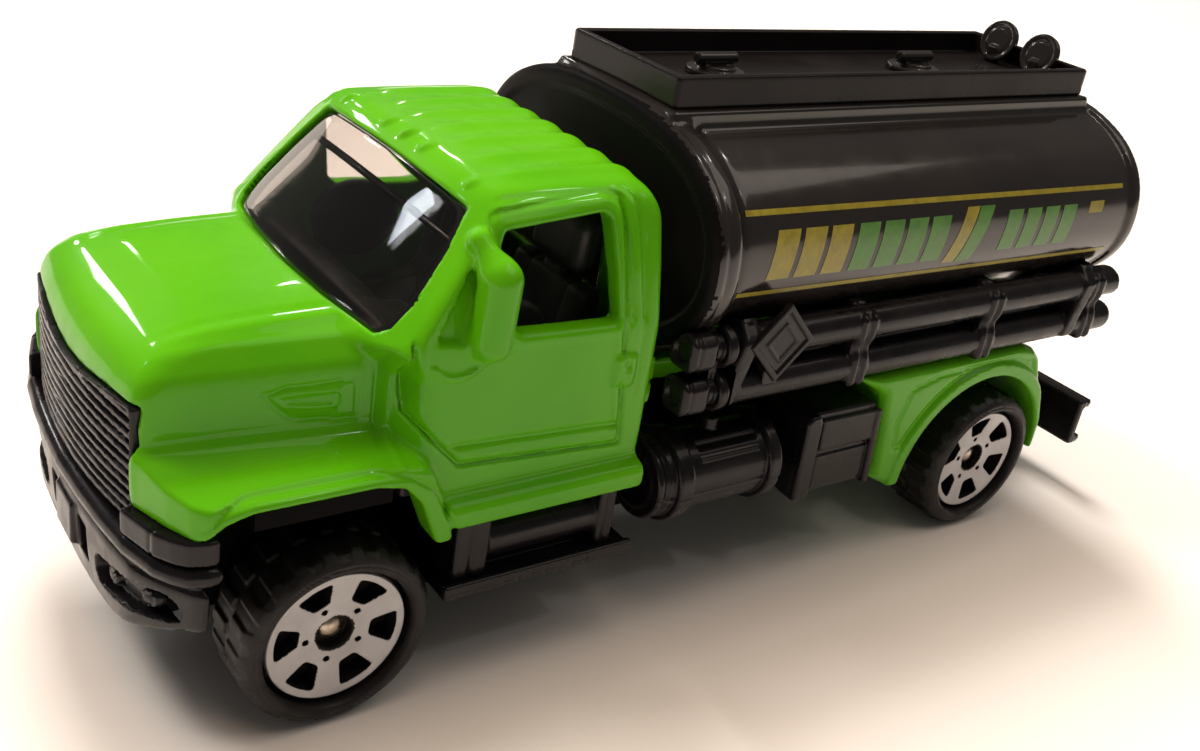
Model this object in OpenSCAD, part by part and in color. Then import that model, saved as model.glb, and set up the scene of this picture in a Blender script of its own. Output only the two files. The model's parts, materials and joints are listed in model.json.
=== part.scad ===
// Small-scale toy fuel tanker truck: painted metal cab on a black plastic chassis
// with a black plastic tank and four free-rolling wheels. All sizes are millimetres.
// The nose points along +X, the left side of the truck is +Y, and +Z is up.

/* [Overall] */
// Foremost point of the bumper, measured from the middle of the truck
nose_x = 37.9; // [37:0.1:38]
// Rearmost point of the rear beam, measured from the middle of the truck
tail_x = -37.9; // [-38.5:0.1:-37.8]
// Half of the full width, across the placards and mirrors
half_w = 12.9; // [12.9:0.05:13.2]

/* [Wheels] */
// Wheel radius over the tread
wheel_r = 5.35; // [5.2:0.05:5.4]
// Width of a tyre
tyre_w = 4.9; // [4.4:0.1:4.9]
// Distance from the centre plane to the outer face of a tyre
track_half = 12.5; // [12.4:0.05:12.6]
// Front axle position
front_axle_x = 27.3; // [27.1:0.1:27.4]
// Rear axle position
rear_axle_x = -23.4; // [-23.5:0.1:-23.3]
// Number of tread lugs in a row
lugs = 22; // [16:1:26]
// Axle radius
axle_r = 0.55; // [0.45:0.05:0.6]
// Running clearance of a wheel on its axle
wheel_play = 0.06; // [0.03:0.01:0.1]

/* [Cab] */
// Rear wall of the cab
cab_rear_x = 9.0; // [8.8:0.1:9.2]
// Underside of the green sill
sill_z = 10.7; // [10.5:0.1:10.8]
// Wall thickness of the casting
wall = 1.1; // [0.9:0.1:1.2]
// Height of the roof at its crown
roof_z = 28.5; // [28.2:0.1:28.8]
// Number of ribs along the roof
roof_ribs = 7; // [5:1:8]

/* [Tank] */
// Front face of the tank's collar
tank_front_x = 6.9; // [6.7:0.1:7]
// Rear end of the straight barrel
tank_rear_x = -32.4; // [-32.8:0.1:-32]
// Half width of the barrel
barrel_a = 11.7; // [11.4:0.1:11.8]
// Half height of the barrel
barrel_b = 7.2; // [7:0.1:7.3]
// Half width of the front collar
collar_a = 12.6; // [12.3:0.1:12.7]
// Half height of the front collar
collar_b = 7.6; // [7.5:0.1:7.6]
// Height of the tank's axis
tank_z = 23.0; // [23:0.1:23.1]
// Top of the walkway coaming
coaming_z = 32.45; // [32:0.05:33]

/* [Pipes] */
// Radius of the side pipes
pipe_r = 1.1; // [0.9:0.05:1.1]
// Height of the upper side pipe
pipe_top_z = 18.7; // [18.6:0.1:18.8]
// Height of the lower side pipe
pipe_low_z = 15.9; // [15.8:0.1:16]

/* [Hidden] */
$fn = 48;

green = [0.22, 0.72, 0.05];
black = [0.06, 0.06, 0.07];
rubber = [0.10, 0.10, 0.10];
silver = [0.75, 0.76, 0.78];
steel = [0.62, 0.60, 0.58];
smoke = [0.35, 0.40, 0.45, 0.6];

tyre_in = track_half - tyre_w;        // inner face of a tyre
rim_r = 4.15;                         // hole in a tyre
disc_face = track_half - 0.57;        // outer face of a wheel disc
arch_z = 14.4;                        // top of the front wheel openings
rear_arch_x = -21.9;                  // centre of the rear wheel openings
rear_arch_r = 7.3;                    // radius of the rear wheel openings
deck_z = 14.4;                        // top of the frame deck
rail_z = 13.0;                        // underside of the frame deck
cabin_z = 11.6;                       // underside of the cabin floor
nose_z = 13.3;                        // lower edge of the green nose
pan_z = 3.9;                          // underside of the chassis pan
plinth_z = 30.6;                      // top of the flat strip under the coaming
floor_z = 31.0;                       // walkway floor inside the coaming
pipe_y = half_w - 0.25 - pipe_r;      // distance of the side pipes from the middle
screen_top = [20.08, 26.9];           // upper edge of the windscreen, X and Z
screen_foot = [24.48, 21.24];         // lower edge of the windscreen, X and Z
screen_len = norm(screen_foot - screen_top);
screen_tilt = atan2(screen_top[1] - screen_foot[1], screen_foot[0] - screen_top[0]);
screen_bow_r = 42;                    // radius of the windscreen's bow across the truck
clamp_xs = [-6.8, -19.1, -30.4];      // straps that hold the side pipes

// ---- helpers -------------------------------------------------------------

// Extrudes an outline drawn in X and Z from y0 to y1.
module along_y(y0, y1) translate([0, y1, 0]) rotate([90, 0, 0]) linear_extrude(y1 - y0) children();

// Extrudes an outline drawn in Y and Z from x0 to x1.
module along_x(x0, x1) translate([x0, 0, 0]) rotate([90, 0, 90]) linear_extrude(x1 - x0) children();

// Completes a half outline, given for positive Y, with its mirror image.
function both_halves(half) =
    concat(half, [for (i = [len(half) - 1 : -1 : 0]) if (half[i][0] > 0.001) [-half[i][0], half[i][1]]]);

// A box between two corners.
module span(a, b) translate(a) cube(b - a);

// A cylinder along Y from y0 to y1 around the point x, z.
module bar_y(x, z, r, y0, y1) translate([x, y1, z]) rotate([90, 0, 0]) cylinder(r = r, h = y1 - y0);

// A cylinder along X from x0 to x1 around the point y, z.
module bar_x(y, z, r, x0, x1) translate([x0, y, z]) rotate([0, 90, 0]) cylinder(r = r, h = x1 - x0);

// Puts its children on the left side, or mirrored on the right side.
module on_side(side) mirror([0, side < 0 ? 1 : 0, 0]) children();

// Repeats its children on both sides.
module both_sides() for (side = [1, -1]) on_side(side) children();

// ---- cab casting ---------------------------------------------------------

cab_side = [
    [cab_rear_x, sill_z], [cab_rear_x, 26.8], [9.5, 27.9], [10.6, roof_z], [15, roof_z + 0.1],
    [19, roof_z - 0.2], [19.9, roof_z - 0.8], [20.6, 27.1], [25.4, 20.9], [24.6, 19.4], [24.4, sill_z]
];
cab_half = [
    [11.5, sill_z], [11.65, 14], [11.6, 20.6], [10.9, 23.6], [10.05, 26.6], [9.5, 27.5], [8.6, 28.1],
    [7.2, roof_z - 0.35], [4, roof_z - 0.1], [0, roof_z]
];
hood_side = [
    [23.4, nose_z], [37.9, nose_z], [37.85, 16.6], [37.6, 17.9], [37.1, 18.9], [36.2, 19.8], [34.8, 20.6],
    [32.6, 21.3], [29.5, 21.8], [26, 22.0], [23.4, 22.0]
];
hood_half = [[8.9, nose_z], [8.8, 19.2], [8.5, 20.0], [7.8, 20.9], [6.6, 21.6], [4, 21.95], [0, 22.1]];
hood_plan_half = [[8.9, 23.4], [8.9, 36.3], [8.3, 36.75], [5.5, 37.3], [2.5, 37.6], [0, 37.7]];
grille_half = [[8.05, 12.0], [8.05, 18.5], [5.5, 18.35], [2.5, 17.9], [0, 17.75]];
arch_side = [
    [22.1, 9.5], [23.4, 12.8], [24.4, 14.0], [26, arch_z], [32.3, arch_z], [33.6, 14.1],
    [34.9, nose_z], [34.9, 9.5]
];
fender_side = [
    [21.2, 10.3], [22.0, 12.7], [23.0, 14.6], [24.2, 15.7], [26, 16.2], [32.5, 16.1], [35, 15.8],
    [36.9, 15.2], [36.9, nose_z], [34.4, nose_z], [22.3, 10.3]
];
fender_half = [[7.2, 9], [12.5, 9], [12.5, 14.9], [12.2, 15.3], [11.4, 15.6], [8.6, 16.2], [7.2, 16.2]];
fender_plan = [
    [21, 7.7], [36.9, 7.7], [36.75, 8.6], [35.9, 10.8], [34.9, 12.0], [34.2, 12.5], [21, 12.5]
];
side_window = [[12.0, 21.3], [12.2, 21.1], [18.1, 21.3], [18.5, 21.7], [19.2, 26.1], [19.0, 26.4],
               [12.9, 26.8], [12.6, 26.5]];

// Moves its children to the windscreen's own plane: X down the slope, Y across, Z outward.
module on_screen() translate([screen_top[0], 0, screen_top[1]]) rotate([0, screen_tilt, 0]) children();

// Half outline of the windscreen on its own plane, grown or shrunk by g.
function screen_half(g) = [
    [0, -g - 0.1], [8.15 + g, -g], [9.0 + g, 2.4], [9.6 + g, 5.6], [9.5 + g, screen_len - 0.7 + g],
    [8.9, screen_len + g], [5, screen_len + 0.35 + g], [0, screen_len + 0.5 + g]
];
module screen_outline(g = 0) polygon([for (p = both_halves(screen_half(g))) [p[1], p[0]]]);

// Long cylinder whose outer surface is the bowed windscreen, shifted outward by d.
module bow(d) on_screen() translate([-25, 0, 0.9 - screen_bow_r]) rotate([0, 90, 0])
    cylinder(r = screen_bow_r + d, h = 60, $fn = 96);

module cab_block() intersection() {
    along_y(-12, 12) polygon(cab_side);
    along_x(8, 26) polygon(both_halves(cab_half));
    bow(0.1);
}

module hood_block() intersection() {
    along_y(-10, 10) polygon(hood_side);
    along_x(23, 38) polygon(both_halves(hood_half));
    linear_extrude(30) polygon([for (p = both_halves(hood_plan_half)) [p[1], p[0]]]);
}

module fender() intersection() {
    along_y(7.2, 12.6) polygon(fender_side);
    along_x(20, 38) polygon(fender_half);
    linear_extrude(20) polygon(fender_plan);
}

module sill() along_y(10.4, 12.6)
    polygon([[cab_rear_x + 0.1, sill_z], [21.6, sill_z], [21.8, 12.6], [21.2, 12.8], [cab_rear_x + 0.3, 12.1],
             [cab_rear_x + 0.1, 11.9]]);

// Mirror housing: an upright capsule that grows out of the left door.
module mirror_housing() {
    r = 1.15;
    translate([20.6, half_w - r, 21.7]) {
        cylinder(r = r, h = 4);
        sphere(r);
        translate([0, 0, 4]) sphere(r);
    }
    for (z = [22.3, 25.2]) bar_y(20.6, z, 0.5, 9.8, half_w - r);
}

// Each rib follows the fall of the roof towards the sides.
module roof_rib(y) span([10.2, y - 0.5, 27.2], [18.3, y + 0.5, roof_z + 0.3 - abs(y) * 0.06]);

module cab_cavity() {
    intersection() {
        along_y(-12, 12) polygon([
            [cab_rear_x + wall, 9], [cab_rear_x + wall, 26.2], [11, 27.2], [19, 27.1],
            [19.7, 26.2], [23.5, 21.2], [23.5, 9]]);
        along_x(8, 26) polygon(both_halves([
            [10.4, 9], [10.5, 20.4], [9.8, 23.4], [8.9, 26.2], [8, 27.1], [0, 27.3]]));
    }
    along_y(-7.7, 7.7) polygon([[22, 9], [22, 20.2], [30, 20.4], [33.6, 19.3], [35.2, 17.4], [35.2, 9]]);
}

// Outline of the door, cut as a fine line in the side wall.
module door_line() difference() {
    along_y(11.4, 12) difference() {
        polygon([[10.6, 13.5], [21.2, 14.2], [23.7, 17.2], [23.7, 27.5], [10.9, 27.5]]);
        polygon([[10.9, 13.8], [21.05, 14.5], [23.4, 17.3], [23.4, 27.9], [11.2, 27.9]]);
    }
    span([19.0, 11, 19.9], [22.4, 13, 28]);
}

module cab_body() color(green) {
    difference() {
        union() {
            cab_block();
            hood_block();
            both_sides() {
                fender();
                sill();
            }
            mirror_housing();
            for (i = [0 : roof_ribs - 1]) roof_rib((i - (roof_ribs - 1) / 2) * 2.35);
        }
        cab_cavity();
        both_sides() along_y(7.15, 13) polygon(arch_side);
        along_y(-12.5, 12.5) polygon(side_window);
        on_screen() translate([0, 0, -4]) linear_extrude(8) screen_outline();
        along_x(35.1, 39) polygon(both_halves(grille_half));
        both_sides() door_line();
        span([8, -6.5, 20.4], [10.6, 6.5, 25.6]);
    }
    for (y = [-7.1, -2.15, 0, 2.15, 7.1]) translate([19.3, y, roof_z - 0.68 - abs(y) * 0.04])
        sphere(0.62, $fn = 24);
    both_sides() span([10.7, 11.3, 17.4], [11.9, 11.95, 19.1]);
}

// Bed of the casting behind the cab, with the rear fenders.
fender_rear_side = [
    [-8.2, deck_z], [-11.1, 12.8], [-11.7, 9.5], [-12.1, 6.2], [-13.8, 5.3], [-29.6, 5.0], [-29.55, 7.8],
    [-28.7, 10.0], [-28.0, 11.8], [-27.3, 13.3], [-26.4, 14.0], [-25.2, deck_z]
];

module rear_frame() color(green) {
    span([-33, -5, rail_z], [cab_rear_x, 5, deck_z]);
    both_sides() {
        difference() {
            along_y(5, 12.3) polygon(fender_rear_side);
            bar_y(rear_arch_x, wheel_r - 0.05, rear_arch_r, 7.15, 13);
            span([-30.5, 4, 4], [-8, 7.15, rail_z]);
            span([-31, 4, 4], [-8, 13, 5.2]);
        }
        span([7.0, 5, 13.2], [cab_rear_x, 6.2, 17.7]);
        span([7.6, 5, 14.8], [cab_rear_x, 10.3, 17.7]);
        span([-30.5, 5, rail_z], [-29, 7.15, deck_z]);
    }
}

// ---- glazing and cabin ---------------------------------------------------

module windscreen() color(smoke) intersection() {
    difference() {
        bow(-0.1);
        bow(-1.0);
    }
    on_screen() translate([0, 0, -3]) linear_extrude(6) screen_outline(-0.06);
}

module rear_window() color(smoke) span([9.3, -6.45, 20.45], [9.9, 6.45, 25.55]);

module seat(y) {
    along_y(y - 3.6, y + 3.6) polygon([[11.6, 12.6], [17.6, 12.6], [17.8, 16.0], [13.6, 16.4], [12.6, 21.4], [10.9, 21.4]]);
    intersection() {
        bar_x(y, 20.6, 3.6, 10.9, 12.6);
        span([10, y - 4, 21.3], [13, y + 4, 25]);
    }
}

module interior() color(black) {
    span([cab_rear_x + wall + 0.1, -9.9, cabin_z], [23.3, 9.9, 12.7]);
    for (y = [-4.9, 4.9]) seat(y);
    along_y(-9.4, 9.4) polygon([[19.6, 12.6], [23.3, 12.6], [23.3, 19.6], [21.6, 20.1], [20.0, 19.2]]);
}

module steering_wheel() color(black) translate([19.15, 4.9, 18.9]) rotate([0, -55, 0]) {
    rotate_extrude() translate([1.75, 0]) circle(0.28, $fn = 16);
    cylinder(r = 0.45, h = 0.5, center = true, $fn = 24);
    for (a = [90, 210, 330]) rotate([0, 0, a]) translate([0, -0.16, -0.14]) cube([1.75, 0.32, 0.28]);
    translate([0, 0, -1.2]) cylinder(r = 0.3, h = 1.2, $fn = 24);
}

// ---- chassis -------------------------------------------------------------

module axle_bore(x) bar_y(x, wheel_r, axle_r + 0.02, -8, 8);

rivet_xs = [14.0, -30.5];
rivet_r = 1.2;
// A rivet post reaches the cabin floor at the front and the deck at the rear.
function post_top(x) = x > 0 ? cabin_z : rail_z;

module chassis_base() color(black) difference() {
    union() {
        span([20.8, -5.2, pan_z], [32.5, 5.2, pan_z + 1.1]);
        span([31.5, -4.8, 4.6], [34.8, 4.8, pan_z + 1.7]);
        span([10.2, -7.9, pan_z], [20.8, 7.9, pan_z + 1.1]);
        span([-36.5, -5.2, pan_z], [10.2, 5.2, pan_z + 1.1]);
        for (x = rivet_xs) translate([x, 0, pan_z]) cylinder(r = 2.2, h = post_top(x) - pan_z);
        for (x = [front_axle_x, rear_axle_x]) span([x - 1.7, -7.2, pan_z], [x + 1.7, 7.2, 7.4]);
        both_sides() {
            span([-29.0, 3.2, pan_z + 1], [8.9, 4.6, rail_z]);
            span([-36.5, 3.2, pan_z + 1], [-29.0, 4.6, 6.9]);
            span([8.8, 3.2, pan_z + 1], [10.4, 4.6, sill_z - 0.1]);
            span([23.5, 5.9, 6.0], [34.6, 7.0, 14.0]);
            span([24.8, 5.9, 13.0], [32.0, 11.8, 14.0]);
            span([10.2, 6.8, pan_z + 1], [20.8, 7.9, cabin_z]);
            span([-10.3, 4.6, 7.6], [-5.2, 6.9, 11.4]);
            difference() {
                span([-1.0, 4.6, 8.2], [4.7, 8.6, 10.6]);
                bar_x(9.7, drum_z, 2.62, -2, 6);
            }
        }
        span([33.6, -7.0, 5.6], [34.8, 7.0, 12.4]);
        span([10.2, -7.9, pan_z + 1], [11.4, 7.9, cabin_z]);
    }
    for (x = [front_axle_x, rear_axle_x]) axle_bore(x);
    for (x = rivet_xs) translate([x, 0, 0]) cylinder(r = rivet_r + 0.02, h = 20);
}

// Riveted posts that hold the chassis to the casting.
module rivets() color(green) for (x = rivet_xs) translate([x, 0, pan_z - 0.45]) {
    cylinder(r1 = 1.5, r2 = 1.9, h = 0.45);
    cylinder(r = rivet_r, h = post_top(x) - pan_z + 0.45);
}

// ---- nose ----------------------------------------------------------------

grille_r = 36;
module grille() color(black) difference() {
    intersection() {
        along_x(35.3, 38.5) polygon(both_halves([for (p = grille_half) [max(0, p[0] - 0.06), p[1] - (p[1] > 13 ? 0.06 : 0)]]));
        translate([37.45 - grille_r, 0, 11]) cylinder(r = grille_r, h = 8, $fn = 120);
    }
    for (i = [0 : 6]) translate([37.45 - grille_r, 0, 12.55 + i * 0.76]) difference() {
        cylinder(r = grille_r + 2, h = 0.36, $fn = 120);
        translate([0, 0, -1]) cylinder(r = grille_r - 0.5, h = 3, $fn = 120);
    }
}

bumper_half = [[12.5, 12.0], [12.5, 8.3], [11.8, 7.7], [8.8, 6.5], [6.5, 6.0], [3, 5.3], [0, 5.0]];
bumper_plan_half = [
    [12.5, 33.6], [12.5, 34.4], [12.2, 35.3], [11.6, 35.9], [10.7, 36.5], [8.4, 37.2], [5.7, 37.55], [3, 37.75],
    [0, nose_x]
];

// Plan outline of the bumper, set back by g.
module bumper_outline(g = 0)
    polygon([for (p = both_halves([for (q = bumper_plan_half) [max(0, q[0] - g), q[1] - g]])) [p[1], p[0]]]);

// Everything behind the slanted plane that trims a front corner of the bumper.
module corner_plane() translate([35.9, 10.4, 10.5]) rotate([0, 0, 37]) rotate([0, 7, 0])
    translate([-60, -60, -20]) cube([60, 120, 40]);

// The face leans back towards the lower edge, and more so towards the ends.
module bumper_face() {
    intersection() {
        translate([0, 0, 4]) linear_extrude(8) bumper_outline(0.45);
        along_x(33, 38) polygon(both_halves(bumper_half));
        along_y(-13, 13) polygon([[33, 4.4], [36.85, 4.4], [37.5, 9], [37.5, 12], [33, 12]]);
        on_side(1) corner_plane();
        on_side(-1) corner_plane();
    }
}

module front_bumper() color(black) difference() {
    union() {
        bumper_face();
        translate([0, 0, 10.7]) linear_extrude(1.15) bumper_outline();
        span([36.4, -1.5, 7.0], [37.6, 1.5, 9.4]);
    }
    span([32, -10.9, 4], [35.0, 10.9, 12.5]);
    both_sides() {
        span([36.3, 1.5, 6.9], [39, 3.1, 9.1]);
        bar_x(5.9, 7.9, 0.8, 35.7, 39);
        bar_x(9.1, 8.5, 0.8, 35.0, 39);
    }
}

module headlamp(side) on_side(side) color(black) intersection() {
    translate([0, 0, 12.0]) linear_extrude(nose_z - 12.0) bumper_outline(0.4);
    span([34.95, 8.1, 12], [38, 12.2, nose_z]);
}

// ---- side equipment ------------------------------------------------------

// Box under the cab sill with a foot ledge and two end posts.
module step_box(side) on_side(side) color(black) {
    span([8.9, 7.9, 6.05], [21.4, 12.4, 6.7]);
    span([10.1, 7.9, 6.7], [20.7, 10.9, sill_z]);
    for (x = [[10.1, 11.3], [18.5, 20.7]]) span([x[0], 10.8, 6.7], [x[1], 11.8, sill_z]);
    bar_x(10.3, 8.4, 1.3, 11.3, 18.5);
    span([8.9, 12.0, 6.6], [21.4, 12.4, 6.95]);
}

drum_z = 9.4; // height of the drum's axis

module fuel_tank(side) on_side(side) color(black) {
    bar_x(9.7, drum_z, 2.6, -2.4, 7.4);
    for (x = [[4.9, 6.1], [-2.1, -1.1]]) difference() {
        bar_x(9.7, drum_z, 3.0, x[0], x[1]);
        span([-3, 6.7, 8.1], [8, 8.7, 10.7]);
    }
    translate([2.2, 9.7, drum_z + 2.4]) cylinder(r = 0.6, h = 1.0);
}

module toolbox(side) on_side(side) color(black) {
    along_y(6.9, 11.8) polygon([[-11.4, 6.4], [-4.3, 6.4], [-4.0, 12.1], [-4.4, 12.6], [-10.4, 12.5], [-10.9, 12.0]]);
    along_y(11.7, 12.25) polygon([[-5.75, 6.3], [-4.35, 6.3], [-4.05, 12.1], [-4.4, 12.5], [-5.4, 12.5]]);
    along_y(11.7, 12.25) polygon([[-11.4, 6.3], [-10.9, 6.3], [-10.4, 12.2], [-10.9, 12.0]]);
    along_y(11.7, 12.1) polygon([[-11.0, 9.6], [-5.7, 9.6], [-5.5, 12.2], [-10.6, 12.1]]);
}

module rear_bumper() color(black) {
    span([-37.1, -11.1, 3.6], [-36.5, 11.1, 7.4]);
    for (z = [3.6, 6.8]) span([tail_x, -11.1, z], [-37.1, 11.1, z + 0.6]);
    for (y = [-8, 8]) span([tail_x + 0.2, y - 1, 4.2], [-37.1, y + 1, 6.8]);
}

// ---- tank ----------------------------------------------------------------

// Tank section: a full upper half and a rounder lower half.
function tank_point(a, b, t) =
    let (c = cos(t), s = sin(t), e = s > 0 ? 2 / 2.4 : 1)
    [a * sign(c) * pow(abs(c), e), tank_z + b * sign(s) * pow(abs(s), e)];
module tank_section(a, b) polygon([for (i = [0 : 71]) tank_point(a, b, i * 5)]);

module tank_skin() {
    along_x(tank_front_x - 2.0, tank_front_x - 0.3) tank_section(collar_a, collar_b);
    along_x(tank_front_x - 0.35, tank_front_x) tank_section(collar_a - 0.5, collar_b - 0.4);
    along_x(tank_front_x - 2.6, tank_front_x - 1.9) tank_section(barrel_a - 0.3, barrel_b - 0.3);
    along_x(tank_rear_x, tank_front_x - 2.5) tank_section(barrel_a, barrel_b);
    along_x(tank_rear_x - 1.0, tank_rear_x + 0.1) tank_section(barrel_a + 0.3, barrel_b + 0.2);
    along_x(tank_rear_x - 1.7, tank_rear_x - 0.9) tank_section(barrel_a - 0.6, barrel_b - 0.6);
    along_x(tank_rear_x - 2.2, tank_rear_x - 1.6) tank_section(barrel_a - 2.2, barrel_b - 1.8);
}

module tank_shell() color(black) {
    tank_skin();
    span([-32.2, -5.9, 28], [tank_front_x - 0.8, 5.9, plinth_z]);
    span([-32.0, -4.4, deck_z], [4.0, 4.4, 18]);
}

module coaming() color(black) difference() {
    span([-31.9, -5.3, plinth_z], [5.7, 5.3, coaming_z]);
    span([-31.4, -4.75, floor_z], [5.15, 4.75, coaming_z + 1]);
}

module hatch(x) translate([x, 0, floor_z]) {
    cylinder(r = 1.9, h = 0.35);
    cylinder(r = 1.2, h = 0.6);
    for (dx = [-1.1, 1.1]) translate([dx, -0.25, 0]) cube([0.4, 0.5, 1.0]);
    bar_x(0, 1.0, 0.38, -1.5, 1.7);
}
module hatches() color(black) for (x = [-1.5, -19.5]) hatch(x);

module vent_discs() color(black) for (y = [-1.9, 1.9]) translate([-30.3, y, floor_z]) {
    translate([-0.5, -0.4, 0]) cube([0.8, 0.8, 1.0]);
    translate([-0.2, 0, 1.6]) rotate([0, 72, 0]) cylinder(r = 1.52, h = 0.5, center = true);
}

// ---- side pipes ----------------------------------------------------------

module pipe_rack(side) on_side(side) color(black) difference() {
    union() {
        for (z = [pipe_top_z, pipe_low_z]) {
            bar_x(pipe_y, z, pipe_r, -32.6, 3.8);
            translate([-32.6, pipe_y, z]) sphere(pipe_r - 0.1);
        }
        for (x = clamp_xs) {
            span([x - 0.8, 8.4, 14.65], [x + 0.8, pipe_y + pipe_r + 0.15, 20.0]);
            span([x - 0.8, 4.4, 14.65], [x + 0.8, 8.4, 17.2]);
        }
    }
    tank_skin();
}

// Hose couplings at the front ends of the pipes.
module valves(side) on_side(side) color(black) difference() {
    union() {
        for (z = [pipe_top_z, pipe_low_z]) {
            bar_x(pipe_y, z, 1.3, 3.8, 4.5);
            bar_x(pipe_y, z, 0.85, 4.5, 5.3);
            bar_x(pipe_y, z, 1.25, 5.3, 5.8);
            bar_x(pipe_y, z, 0.95, 5.8, 7.3);
        }
        span([4.6, pipe_y - 0.35, pipe_low_z], [5.2, pipe_y + 0.35, pipe_top_z]);
    }
    tank_skin();
}

module placard(side) on_side(side) color(black) {
    translate([0.7, half_w - 0.25, 18.9]) rotate([-90, 0, 0]) linear_extrude(0.25)
        polygon([[2.5, 0], [0, 2.55], [-2.5, 0], [0, -2.55]]);
    difference() {
        span([0.3, pipe_y - 0.6, pipe_low_z], [1.5, half_w - 0.25, pipe_top_z]);
        for (z = [pipe_top_z, pipe_low_z]) bar_x(pipe_y, z, pipe_r, -2, 3);
    }
}

// ---- running gear --------------------------------------------------------

module axle(x) color(steel) {
    bar_y(x, wheel_r, axle_r, -11.2, 11.2);
    bar_y(x, wheel_r, 0.8, 11.0, 11.3);
    bar_y(x, wheel_r, 0.8, -11.3, -11.0);
}

// Ring of tread lugs; each lug fills a share of its pitch.
module lug_ring(r0, r1, h, turn) difference() {
    linear_extrude(h) polygon([for (i = [0 : lugs - 1], k = [0 : 3])
        let (a = (i + [0, 0.18, 0.5, 0.68][k]) * 360 / lugs + turn, r = (k == 1 || k == 2) ? r1 : r0)
        [r * cos(a), r * sin(a)]]);
    translate([0, 0, -1]) cylinder(r = rim_r + 0.3, h = h + 2);
}

// A wheel is drawn around the Z axis with its outer face up, then turned into place.
module at_wheel(x, side) on_side(side) translate([x, 0, wheel_r]) rotate([-90, 0, 0]) children();

module tyre(x, side) color(rubber) at_wheel(x, side) {
    rotate_extrude() polygon([
        [rim_r, tyre_in + 0.3], [4.4, tyre_in], [4.7, tyre_in], [5.0, tyre_in + 0.45],
        [5.05, track_half - 0.5], [4.8, track_half - 0.1], [4.45, track_half], [4.2, track_half - 0.15],
        [rim_r, track_half - 0.3]
    ]);
    translate([0, 0, tyre_in + 0.35]) lug_ring(4.9, wheel_r, 1.9, 0);
    translate([0, 0, track_half - 2.25]) lug_ring(4.9, wheel_r, 1.9, 180 / lugs);
}

module wheel_disc(x, side) color(silver) at_wheel(x, side) difference() {
    rotate_extrude() polygon([
        [0, tyre_in + 0.1], [rim_r - 0.03, tyre_in + 0.4], [rim_r - 0.03, disc_face - 0.6],
        [3.86, disc_face - 0.55], [3.86, disc_face], [3.2, disc_face - 0.15], [1.5, disc_face - 0.35],
        [0, disc_face - 0.35]
    ]);
    translate([0, 0, 5]) cylinder(r = axle_r + wheel_play, h = 10);
    translate([0, 0, disc_face - 1.05]) cylinder(r = 1.1, h = 3);
    for (i = [0 : 5]) rotate([0, 0, i * 60]) translate([0, 0, disc_face - 1.4]) linear_extrude(3)
        polygon([[2.0, -0.45], [3.25, -0.85], [3.25, 0.85], [2.0, 0.45]]);
    for (i = [0 : 4]) rotate([0, 0, i * 72 + 30]) translate([1.65, 0, disc_face - 0.8])
        cylinder(r = 0.16, h = 2, $fn = 16);
}

// ---- drawing -------------------------------------------------------------

cab_body();
rear_frame();
windscreen();
rear_window();
interior();
steering_wheel();
chassis_base();
grille();
front_bumper();
headlamp(1);  // headlamp_left
headlamp(-1);  // headlamp_right
step_box(1);  // step_box_left
step_box(-1);  // step_box_right
fuel_tank(1);  // fuel_tank_left
fuel_tank(-1);  // fuel_tank_right
toolbox(1);  // toolbox_left
toolbox(-1);  // toolbox_right
rear_bumper();
tank_shell();
coaming();
hatches();
vent_discs();
pipe_rack(1);  // pipe_rack_left
pipe_rack(-1);  // pipe_rack_right
valves(1);  // valves_left
valves(-1);  // valves_right
placard(1);  // placard_left
placard(-1);  // placard_right
axle(front_axle_x);  // axle_front
axle(rear_axle_x);  // axle_rear
tyre(front_axle_x, 1);  // tyre_front_left
tyre(front_axle_x, -1);  // tyre_front_right
tyre(rear_axle_x, 1);  // tyre_rear_left
tyre(rear_axle_x, -1);  // tyre_rear_right
wheel_disc(front_axle_x, 1);  // disc_front_left
wheel_disc(front_axle_x, -1);  // disc_front_right
wheel_disc(rear_axle_x, 1);  // disc_rear_left
wheel_disc(rear_axle_x, -1);  // disc_rear_right
rivets();
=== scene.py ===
import bpy
import json
import math
import numpy as np
from mathutils import Matrix, Vector


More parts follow.
